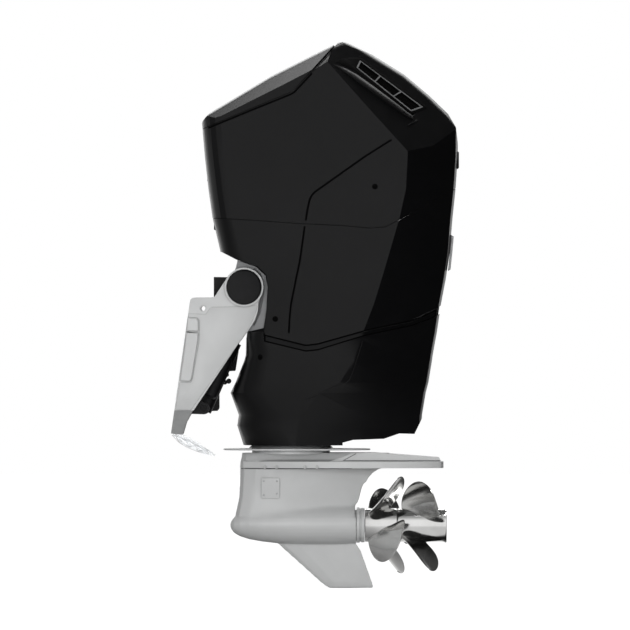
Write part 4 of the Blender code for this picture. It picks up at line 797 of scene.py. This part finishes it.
def vent_trim(name, side):
    """A black plate round an air vent, painted shade under its lip and round its frame, and the lip and drip
    edge under it.
    """
    normal = shoulder(side)[1]
    # a flat black plate that paints the shade under the lip and in the gap round the frame
    shade_plate = plate([on_shoulder(*spot, side, -0.6) for spot in VENT_SHADE_OUTLINE], normal * 1.6 * MM, 0.6)
    opening = [on_shoulder(*spot, side, sunk=12.0) for spot in VENT_OPENING]
    subtracted(shade_plate, plate(opening, (0.0, side * 30.0 * MM, 0.0), 0.0))
    fitted(shade_plate, name + "_vent_shade_plate", "upper_cowl", "black_mesh_and_gap_shade")
    outline = [on_shoulder(px, py, side, -0.5) for px, py, _ in VENT_LIP]
    blade = plate(outline, normal * MM, 0.0)
    for vertex in blade.data.vertices:
        near = min(range(len(outline)), key=lambda i: (outline[i] - vertex.co).length)
        if (outline[near] - vertex.co).length > 0.5 * MM:
            vertex.co = outline[near] + normal * VENT_LIP[near][2] * MM
    modified(blade, "BEVEL", width=1.2 * MM, segments=2, limit_method="ANGLE", angle_limit=math.radians(50.0))
    fitted(blade, name + "_vent_lip", "upper_cowl", "satin_black_lacquer", 50.0)
    foot = plate([on_shoulder(*spot, side, -0.4) for spot in VENT_DRIP_EDGE], normal * 3.0 * MM)
    fitted(foot, name + "_vent_drip_edge", "upper_cowl", "satin_black_lacquer")


# the edges of the waist seam and where its strip starts and ends, drawn on the side view
WAIST_TOP = [(262.0, 333.2), (265.2, 334.4), (305.8, 344.5), (318.0, 343.0), (366.8, 329.2), (411.3, 320.0),
             (430.5, 312.5), (438.0, 308.0)]
WAIST_FOOT = [(262.0, 340.6), (264.3, 341.5), (305.8, 351.5), (318.0, 350.2), (363.8, 336.0), (411.3, 326.0),
              (429.3, 319.5), (437.0, 315.0)]
WAIST_START, WAIST_END = 266.0, 434.0
WAIST_STATIONS = 60
WAIST_GAP = 1.5  # how far the strip stays clear of the seam's edges, in steps of the side view
WAIST_PROBE = 3.0  # how far from the seam the panels' skin is felt for, in the same steps


def height_on(line, px):
    """How far down the side view a drawn line lies, at a place along it."""
    for (ax, ay), (bx, by) in zip(line, line[1:]):
        if ax <= px <= bx:
            return ay + (by - ay) * (px - ax) / (bx - ax)
    return line[-1][1] if px > line[-1][0] else line[0][1]


def waist_band(name, side):
    """The lacquered strip that fills the waist seam, all but flush with the panels."""
    bpy.ops.object.select_all(action="DESELECT")
    bpy.ops.mesh.primitive_grid_add(x_subdivisions=WAIST_STATIONS, y_subdivisions=1, size=2.0)
    strip = bpy.context.object
    for vertex in strip.data.vertices:
        station = round((vertex.co.x + 1.0) / 2.0 * WAIST_STATIONS)
        px = WAIST_START + (WAIST_END - WAIST_START) * station / WAIST_STATIONS
        top = vertex.co.y > 0.0
        line, node, away = (WAIST_TOP, "_lower_cowl", -1.0) if top else (WAIST_FOOT, "_mid_cover", 1.0)
        py = height_on(line, px)
        skin = on_surface(name + node, *at_px(px, py + away * WAIST_PROBE), side)[0]
        x, z = at_px(px, py - away * WAIST_GAP)
        vertex.co = (x, skin.y - side * 0.4 * MM, z)
    modified(strip, "SOLIDIFY", thickness=4.0 * MM, offset=0.0)
    fitted(strip, name + "_waist_band", "engine", "satin_black_lacquer")


def cowl_screws(name, side):
    """The screws in the cowl's side, each in a black cup."""
    for pattern, px, py in COWL_SCREWS:
        node = pattern.replace("*", name)
        label = name + "_" + pattern.replace("*_", "")
        place, normal = on_surface(node, *at_px(px, py), side)
        cup = placed(lathe([(-1.0, 11.4), (0.8, 11.4), (1.2, 10.8), (1.2, 8.0)], 28), place, normal)
        fitted(cup, label + "_screw_cup", BODY_OF[node], "black_mesh_and_gap_shade")
        raised = (place + normal * 1.2 * MM, normal)
        screws(label + "_screw", [raised], BODY_OF[node], "black_mesh_and_gap_shade", 6.5, 2.2)


# each latch's lowest and highest corner, in mm, the body it rides on and how far it is rounded, in mm
LATCHES = {
    "front_hood_latch": ((99.0, -34.0, 316.0), (111.0, 34.0, 358.0), "engine", 3.0),
    "front_hood_catch": ((72.0, -16.0, 510.0), (85.0, 16.0, 548.0), "upper_cowl", 3.0),
    "rear_hood_handle": ((1058.0, -52.0, 560.0), (1078.0, 52.0, 630.0), "upper_cowl", 6.0),
}


def latch(name, low, high, body, bevel):
    """A moulded latch cover: a softened block between two corners, in mm."""
    corners = ((low[0], low[1]), (high[0], low[1]), (high[0], high[1]), (low[0], high[1]))
    base = [Vector((x, y, low[2])) * MM for x, y in corners]
    block = plate(base, (0.0, 0.0, (high[2] - low[2]) * MM), bevel, 3)
    fitted(block, name, body, "moulded_black_nylon")


def roof_crest(middle, first, second):
    """Whether an edge is where the roof meets the cowl's flank."""
    top, flank = sorted((first, second), key=lambda normal: abs(normal.y))
    return middle.z > 0.55 and abs(top.y) < 0.2 and top.z > 0.4 and flank.z > 0.3 and abs(flank.y) < 0.8


class OUTBOARD_OT_cowls(bpy.types.Operator):
    """Finish the cowl panels and press in their body lines"""
    bl_idname = "outboard.cowls"
    bl_label = "Cowls"

    def execute(self, context):
        width = context.scene.outboard_looks.line_width
        softened("service_hatch", 1.2, 16.0, broad=(15.0, roof_crest))
        lines = [body_line("upper_cowl", line, side, width) for side in SIDES.values()
                 for line in (UPPER_LINE, HATCH_LINE)]
        softened("upper_cowl", 1.2, 16.0, cutters=lines, broad=(24.0, roof_crest))
        for name, side in SIDES.items():
            panel, cover = name + "_lower_cowl", name + "_mid_cover"
            softened(panel, 1.2, 30.0, cutters=[body_line(panel, LOWER_LINE, side, width)])
            line_shadow(name + "_lower_line_shade", panel, LOWER_LINE, side)
            line_shadow(name + "_upper_line_shade", "upper_cowl", UPPER_LINE, side)
            line_shadow(name + "_hatch_line_shade", "upper_cowl", HATCH_LINE, side)
            softened(cover, 1.2, 30.0, cutters=[body_line(cover, CREASE, side, width * 0.7, CREASE_DEPTH)])
            waist_band(name, side)
            softened(name + "_air_vent", 0.4, cutters=vent_slots(side))
            vent_mesh(name, side)
            vent_trim(name, side)
            cowl_screws(name, side)
        softened("waist_seal", 0.8, 32.0)
        softened("rear_grip_plate", 1.5)
        for latch_name, (low, high, body, bevel) in LATCHES.items():
            latch(latch_name, low, high, body, bevel)
        return {"FINISHED"}


# drawn on the side view: a clamp bracket's raised web and bolt hole, a spray blade's edge and zigzag ribs,
# the plate that closes the cowl's front recess, and the two castings of the tilt pump
WEB_OUTLINE = [(189.4, 313.6), (206.4, 314.4), (211.4, 307.4), (230.0, 306.8), (257.4, 306.0), (255.6, 313.0),
               (249.6, 326.5), (239.0, 343.0), (223.0, 365.0), (206.0, 389.0), (191.6, 409.4), (176.2, 409.4),
               (180.4, 382.4), (191.2, 382.4), (193.0, 379.6), (200.0, 340.0), (200.2, 320.4), (197.6, 317.6),
               (189.0, 317.4)]
BRACKET_FLAT = (215.0, 340.0)  # a spot on its flat face
BOLT_HOLE = (203.4, 308.4)
BOLT_HOLE_RADIUS = 11.6  # in mm
BLADE_EDGE = [(172.6, 434.8), (179.0, 441.6), (187.0, 446.6), (197.0, 450.6), (215.2, 455.2), (206.0, 449.6),
              (195.0, 443.6), (184.0, 438.4), (176.0, 435.0)]
BLADE_ZIGZAG = [(176.5, 435.6), (179.6, 441.6), (186.0, 439.6), (188.0, 446.4), (196.0, 444.8),
                (199.0, 450.8), (206.0, 450.2), (209.0, 453.6)]
RECESS_OUTLINE = [(240.0, 262.0), (241.0, 257.0), (260.0, 264.0), (270.0, 273.0), (272.0, 290.0),
                  (269.5, 333.0), (267.0, 343.0), (249.0, 337.5), (247.0, 331.0), (253.0, 327.0),
                  (258.0, 318.0), (262.0, 290.0), (252.0, 270.0)]
VALVE_BLOCK = [(224.0, 350.0), (239.0, 342.6), (238.4, 352.0), (235.4, 371.0), (222.0, 371.6)]
PUMP_BODY = [(206.0, 370.0), (224.0, 370.6), (224.6, 383.6), (219.2, 386.6), (219.4, 408.4), (217.6, 411.0),
             (204.0, 411.6), (198.0, 413.2), (193.0, 411.0), (199.0, 392.0)]


def bracket_trim(name, side):
    """A clamp bracket with its clamping pad rounded over, its raised web and the rim of its bolt hole."""
    node = name + "_clamp_bracket"
    face_y = abs(on_surface(node, *at_px(*BRACKET_FLAT), side)[0].y)

    def pad_edge(middle, *normals):
        return abs(middle.y) > face_y + 4.0 * MM and middle.x < 0.1

    softened(node, 1.6, 30.0, 3, broad=(5.0, pad_edge))
    web = plate(laid(WEB_OUTLINE, side * (face_y - 0.5 * MM)), (0.0, side * 4.0 * MM, 0.0), 1.4)
    fitted(web, name + "_bracket_web", "clamp", "silver_marine_enamel")
    x, z = at_px(*BOLT_HOLE)
    radius = BOLT_HOLE_RADIUS * MM
    around = [Vector((x + radius * math.cos(a), side * face_y, z + radius * math.sin(a)))
              for a in (i * math.tau / 40 for i in range(40))]
    fitted(tube(around, 1.5 * MM, closed=True), name + "_bolt_hole_rim", "clamp",
           "silver_marine_enamel")


def spray_ribs(name):
    """Moulded edge and zigzag ribs on the pale spray blade, painted grey as the shade along its edges."""
    low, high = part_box(name + "_spray_blade")
    faces = (low.y - 0.4 * MM, high.y + 0.4 * MM)
    runs = [tube(laid(BLADE_EDGE, y), 0.6 * MM, closed=True, steps=2) for y in faces]
    runs.append(tube(laid(BLADE_ZIGZAG, (low.y + high.y) / 2), 0.6 * MM, steps=2))
    fitted(joined(runs), name + "_spray_blade_ribs", "clamp", "painted_rib_shade")


def recess_shield(name, side):
    """The black closing plate between the swivel housing and the cowl's front recess."""
    shield = plate(laid(RECESS_OUTLINE, side * 112.0 * MM), (0.0, side * 3.0 * MM, 0.0))
    fitted(shield, name + "_recess_shield", "engine", "moulded_black_nylon")


def pivot_cap(name, side):
    """The black disc over the end of the tilt tube, turned with a rounded rim."""
    low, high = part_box(name + "_pivot_cap")
    radius, deep = (high.x - low.x) / 2 / MM, (high.y - low.y) / MM
    cap = lathe([(0.0, radius), (deep - 6.0, radius), (deep - 2.6, radius - 1.4), (deep - 0.8, radius - 4.2),
                 (deep, radius - 9.0)], 96)
    base = Vector(((low.x + high.x) / 2, side * min(abs(low.y), abs(high.y)), (low.z + high.z) / 2))
    fitted(placed(cap, base, (0.0, side, 0.0)), name + "_pivot_cap_disc", "clamp",
           "moulded_black_nylon", 40.0)
    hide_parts(name + "_pivot_cap")


def barrel(profile, place, axis, steps=40):
    """A turned solid that stands along an axis at a place, in mm."""
    return placed(lathe(profile, steps), Vector(place) * MM, axis)


def across(outline, near, far, bevel):
    """A casting drawn on the side view and as deep as from near to far, in mm."""
    return plate(laid(outline, near * MM), (0.0, (far - near) * MM, 0.0), bevel, 3)


# the tilt pump's three fittings, with x and z, radius, length and the radius of the tip, and its bolts, in mm
PUMP_FITTINGS = ((150.0, -264.0, 8.0, 76.0, 6.0), (157.0, -289.0, 10.5, 70.0, 8.0),
                 (142.0, -294.0, 9.0, 72.0, 7.0))
PUMP_BOLTS = ((147.0, 46.0, -264.0), (60.0, 48.0, -398.0), (112.0, 48.0, -340.0))


def tilt_hardware():
    """The pump, its motor and valve block, that stand beside the tilt cylinder between the brackets."""
    castings = [across(VALVE_BLOCK, 52.0, 118.0, 4.0), across(PUMP_BODY, 48.0, 112.0, 3.0)]
    for x, z, radius, length, tip in PUMP_FITTINGS:
        profile = [(0.0, radius), (length, radius), (length + 1.0, tip)]
        castings.append(barrel(profile, (x, 46.0, z), (0.0, 1.0, 0.0), 20))
    fitted(joined(castings), "tilt_pump_casting", "clamp", "black_enamel_casting")
    motor = barrel([(0.0, 24.0), (3.0, 27.0), (96.0, 27.0), (100.0, 24.0), (104.0, 12.0)],
                   (84.0, 118.0, -402.0), (0.0, 0.0, 1.0))
    fitted(motor, "tilt_pump_motor", "clamp", "moulded_black_nylon")
    bolts = [barrel([(0.0, 5.0), (4.0, 5.0), (4.6, 4.0)], spot, (0.0, -1.0, 0.0), 6) for spot in PUMP_BOLTS]
    fitted(joined(bolts), "tilt_pump_bolts", "clamp", "plated_steel")


# the pocket cast round the back of the swivel housing's side, as a line on the side view, and its size in mm
SWIVEL_POCKET = [(254.0, 268.5), (260.0, 275.0), (263.0, 286.0), (262.0, 300.0), (258.6, 314.0),
                 (253.6, 325.0)]
POCKET_WIDTH = 12.0
POCKET_DEPTH = 6.0

# how far the edges of the tilt gear and the middle section are rounded, in mm
TILT_GEAR_EDGES = {
    "swivel_front_block": 2.0, "ram_anchor": 1.5, "tilt_cylinder": 1.2, "trim_reservoir": 1.5,
    "tilt_ram_rod": 0.8, "middle_section": 1.5, "steering_bearing_ring": 1.2,
}


class OUTBOARD_OT_brackets(bpy.types.Operator):
    """Finish the clamp brackets, the swivel housing and the tilt gear"""
    bl_idname = "outboard.brackets"
    bl_label = "Brackets"

    def execute(self, context):
        for name, side in SIDES.items():
            softened(name + "_bracket_anode", 1.6)
            pivot_cap(name, side)
            softened(name + "_spray_blade", 0.4)
            bracket_trim(name, side)
            spray_ribs(name)
            recess_shield(name, side)
        tilt_hardware()
        pockets = [body_line("swivel_housing", SWIVEL_POCKET, side, POCKET_WIDTH * MM, POCKET_DEPTH)
                   for side in SIDES.values()]
        softened("swivel_housing", 2.5, 30.0, 3, cutters=pockets)
        for node, bevel in TILT_GEAR_EDGES.items():
            softened(node, bevel)
        return {"FINISHED"}


# fastenings and joints of the leg, drawn on the side view
SEAM_BOLTS = ((265.0, 466.6), (276.6, 466.6), (305.0, 466.6), (317.0, 466.6))
INTAKE_SCREWS = ((263.8, 494.8), (276.8, 493.4), (263.8, 481.0), (276.8, 481.0))
LEG_SEAMS = (
    ("gearcase_lower", [(241.4, 468.4), (352.0, 468.4)]),
    ("gearcase_upper", [(344.0, 460.4), (440.0, 460.4)]),
    ("gearcase_upper", [(343.0, 460.4), (356.0, 453.4)]),
)


def seam_bolts():
    """Bolts standing up through the ledge where the two castings meet."""
    bolts = []
    for spot in SEAM_BOLTS:
        for side in SIDES.values():
            place, _ = on_surface("gearcase_upper", *at_px(*spot), side)
            head = lathe([(-7.0, 5.6), (4.0, 5.6), (5.0, 4.6)], 6)
            bolts.append(placed(head, place + Vector((0.0, side * MM, 0.0)), (0.0, 0.0, 1.0)))
    fitted(joined(bolts), "gearcase_seam_bolts", "gearcase", "silver_marine_enamel", 30.0)


def seam_beads(name, side):
    """The dark sealant that shows in the joints of the leg castings."""
    runs = [tube(drawn_on(node, line, side, 0.1, 4.0), 1.3 * MM, steps=1) for node, line in LEG_SEAMS]
    fitted(joined(runs), name + "_joint_sealant", "gearcase", "joint_sealant")


def strut(place):
    """Whether a place is where the leg's strut runs down into its bullet."""
    return place.x > 0.22 and PROP_AXIS.z + 0.03 < place.z < PROP_AXIS.z + 0.17


class OUTBOARD_OT_gearcase(bpy.types.Operator):
    """Finish the gearcase and its fastenings"""
    bl_idname = "outboard.gearcase"
    bl_label = "Gearcase"

    def execute(self, context):
        cast("gearcase_lower", grid=3.0, rounds=10, blend_rounds=160, blended=strut)
        softened("gearcase_upper", 2.4, 24.0, 3)
        softened("splash_plate", 1.0)
        softened("bearing_carrier", 0.8)
        for name, side in SIDES.items():
            cover = name + "_intake_cover"
            softened(cover, 0.8)
            spots = [on_surface(cover, *at_px(*spot), side) for spot in INTAKE_SCREWS]
            screws(name + "_intake_screws", spots, "gearcase", "plated_steel", 3.0, 1.6)
            seam_beads(name, side)
        seam_bolts()
        return {"FINISHED"}


# ---------------------------------------------------------------- propellers
PITCH = 0.6  # how far a blade's screw surface advances in a turn, in metres
HUB_RADIUS = 68.0
BLADE_THICKNESS = 15.0  # before the shares that thin it towards its edges, in mm
BLADE_GRID = (24, 30)  # faces across a blade and up it
BLADE_SINK = 4.0  # how deep a blade's root starts inside the hub, in mm
CUP, CUP_START = 5.0, 0.6  # how far the trailing edge curls, in mm, and the share across where it starts

# the hub's ends and the middle of the blades' roots along the boat, the blades' rake and reach from the axis,
# and the flare of the hub's lip, in mm; the blades' places round the hub and half their spread, in degrees
PROPELLERS = {
    "front_propeller": {"hub": (702.3, 830.3), "phases": (116.0, 26.0, -64.0, -154.0), "hand": -1.0,
                        "root_x": 757.0, "rake": 74.0, "tip": 204.0, "spread": 36.0, "flare": 0.0},
    "rear_propeller": {"hub": (832.7, 1028.7), "phases": (-114.0, 126.0, 6.0), "hand": 1.0,
                       "root_x": 896.0, "rake": 62.0, "tip": 190.0, "spread": 40.0, "flare": 4.0},
}


def blade_width(share):
    """A blade's width at a share of its height, against its widest."""
    if share < 0.5:
        return 0.70 + 0.30 * math.sin(math.pi * share)
    return math.sqrt(max(0.0, 1.0 - ((share - 0.5) / 0.5) ** 2.3))


def blade_thickness(share, across):
    """A blade's thickness: most at the root, which is filleted, and little at the lip and the edges."""
    thick = (1.0 - 0.78 * share) * (1.0 - 0.8 * across * across)
    if share < 0.12:
        thick *= 1.0 + 1.2 * (1.0 - share / 0.12)
    return max(0.14, min(1.0, thick * 0.6))


def propeller_blade(phase, sizes):
    """One blade: a flat grid bent onto the screw surface, thick at the root and thin at the lip."""
    bpy.ops.object.select_all(action="DESELECT")
    bpy.ops.mesh.primitive_grid_add(x_subdivisions=BLADE_GRID[0], y_subdivisions=BLADE_GRID[1], size=2.0)
    o = bpy.context.object
    low, tip = (HUB_RADIUS - BLADE_SINK) * MM, sizes["tip"] * MM
    group = o.vertex_groups.new(name="thickness")
    for vertex in o.data.vertices:
        across, up = vertex.co.x, (vertex.co.y + 1.0) / 2.0
        share = 1.0 - (1.0 - up) ** 1.5
        radius = low + (tip - low) * share
        angle = across * math.radians(sizes["spread"]) * max(0.06, blade_width(share))
        cup = CUP * MM * share * (max(0.0, across - CUP_START) / (1.0 - CUP_START)) ** 2
        x = (sizes["root_x"] + sizes["rake"] * share ** 1.1) * MM + PITCH * angle / math.tau - cup
        turn = math.radians(phase) + sizes["hand"] * angle
        vertex.co = (x, radius * math.cos(turn), PROP_AXIS.z + radius * math.sin(turn))
        group.add([vertex.index], blade_thickness(share, across), "REPLACE")
    modified(o, "SOLIDIFY", thickness=BLADE_THICKNESS * MM, offset=0.0, vertex_group="thickness")
    modified(o, "SUBSURF", levels=1, render_levels=1)
    o.vertex_groups.clear()
    return faced_out(o)


def propeller(node, sizes):
    """A hub turned with a rounded lip and an open exhaust end, with its blades."""
    low, high = sizes["hub"]
    length, flare = high - low, sizes["flare"]
    profile = [
        (length - 46.0, 34.0), (length - 46.0, 58.0), (length - 16.0, 60.0), (length - 1.0, 60.5 + flare),
        (length, 62.0 + flare), (length, 65.5 + flare), (length - 1.6, 67.4 + flare),
        (length - 6.0, 67.6 + flare), (length - 18.0, HUB_RADIUS), (length * 0.5, HUB_RADIUS),
        (4.0, HUB_RADIUS), (1.0, 67.0), (0.0, 65.0), (0.0, 52.0),
    ]
    hub = placed(lathe(profile, 96), Vector((low * MM, 0.0, PROP_AXIS.z)), (1.0, 0.0, 0.0))
    blades = [propeller_blade(phase, sizes) for phase in sizes["phases"]]
    fitted(joined([hub, *blades]), node + "_wheel", BODY_OF[node], "buffed_stainless", 40.0)
    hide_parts(node)


class OUTBOARD_OT_propellers(bpy.types.Operator):
    """Model the propellers finely, so that their reflections run smoothly"""
    bl_idname = "outboard.propellers"
    bl_label = "Propellers"

    def execute(self, context):
        for node, sizes in PROPELLERS.items():
            propeller(node, sizes)
        softened("rear_propeller_nut", 0.8)
        return {"FINISHED"}


# ---------------------------------------------------------------- the engine under the cowl
# how far the edges of each engine part are rounded, in mm
POWER_HEAD_EDGES = {
    "engine_block": 2.5, "transmission_case": 2.0, "*_cylinder_head": 3.0, "*_cam_cover": 6.0,
    "*_exhaust_manifold": 6.0, "intake_plenum": 8.0, "engine_control_box": 4.0, "oil_filter": 2.0,
    "alternator": 1.5, "crankshaft_and_flywheel": 1.2, "steering_actuator": 4.0, "drive_belt": 1.0,
    "service_tray": 2.0, "oil_filler_cap": 1.0,
}
CAM_SCREW_ROWS = 6
CAM_SCREW_ENDS, CAM_SCREW_INSET = 18.0, 14.0  # from a cam cover's ends and from its edges, in mm


def cam_cover_screws(name, side):
    """Two rows of screws down the edges of a cam cover."""
    node = name + "_cam_cover"
    low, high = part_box(node)
    bottom, top = low.z + CAM_SCREW_ENDS * MM, high.z - CAM_SCREW_ENDS * MM
    heights = [bottom + (top - bottom) * row / (CAM_SCREW_ROWS - 1) for row in range(CAM_SCREW_ROWS)]
    edges = (low.x + CAM_SCREW_INSET * MM, high.x - CAM_SCREW_INSET * MM)
    spots = [on_surface(node, x, z, side) for z in heights for x in edges]
    screws(name + "_cam_cover_screws", spots, "engine", "plated_steel", 6.0, 4.0)


class OUTBOARD_OT_power_head(bpy.types.Operator):
    """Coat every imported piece, and finish the engine under the cowl"""
    bl_idname = "outboard.power_head"
    bl_label = "Power head"

    def execute(self, context):
        for node, finish in NODE_FINISH.items():
            coated(NODES[node], finish)
        for name, bevel in POWER_HEAD_EDGES.items():
            for node in both([name]):
                softened(node, bevel, 34.0)
        for name, side in SIDES.items():
            cam_cover_screws(name, side)
        return {"FINISHED"}


OPERATORS = (
    OUTBOARD_OT_power_head, OUTBOARD_OT_cowls, OUTBOARD_OT_brackets, OUTBOARD_OT_gearcase,
    OUTBOARD_OT_propellers, OUTBOARD_OT_stage,
)


class OUTBOARD_PT_looks(bpy.types.Panel):
    """Every step of the motor's looks"""
    bl_label = "Outboard motor"
    bl_idname = "OUTBOARD_PT_looks"
    bl_space_type = "VIEW_3D"
    bl_region_type = "UI"
    bl_category = "Outboard"

    def draw(self, context):
        looks = context.scene.outboard_looks
        for name in ("cowl_colour", "enamel_colour", "anode_colour", "steel_roughness", "line_width"):
            self.layout.prop(looks, name)
        for operator in OPERATORS:
            self.layout.operator(operator.bl_idname)


CLASSES = (OutboardLooks, *OPERATORS, OUTBOARD_PT_looks)


def register():
    for made in CLASSES:
        bpy.utils.register_class(made)
    bpy.types.Scene.outboard_looks = bpy.props.PointerProperty(type=OutboardLooks)


def unregister():
    del bpy.types.Scene.outboard_looks
    for made in reversed(CLASSES):
        bpy.utils.unregister_class(made)


def main():
    """Registers the add-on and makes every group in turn."""
    register()
    make_finishes(bpy.context.scene.outboard_looks)
    bpy.ops.outboard.power_head()
    bpy.ops.outboard.cowls()
    bpy.ops.outboard.brackets()
    bpy.ops.outboard.gearcase()
    bpy.ops.outboard.propellers()
    bpy.ops.outboard.stage()


if __name__ == "__main__":
    main()
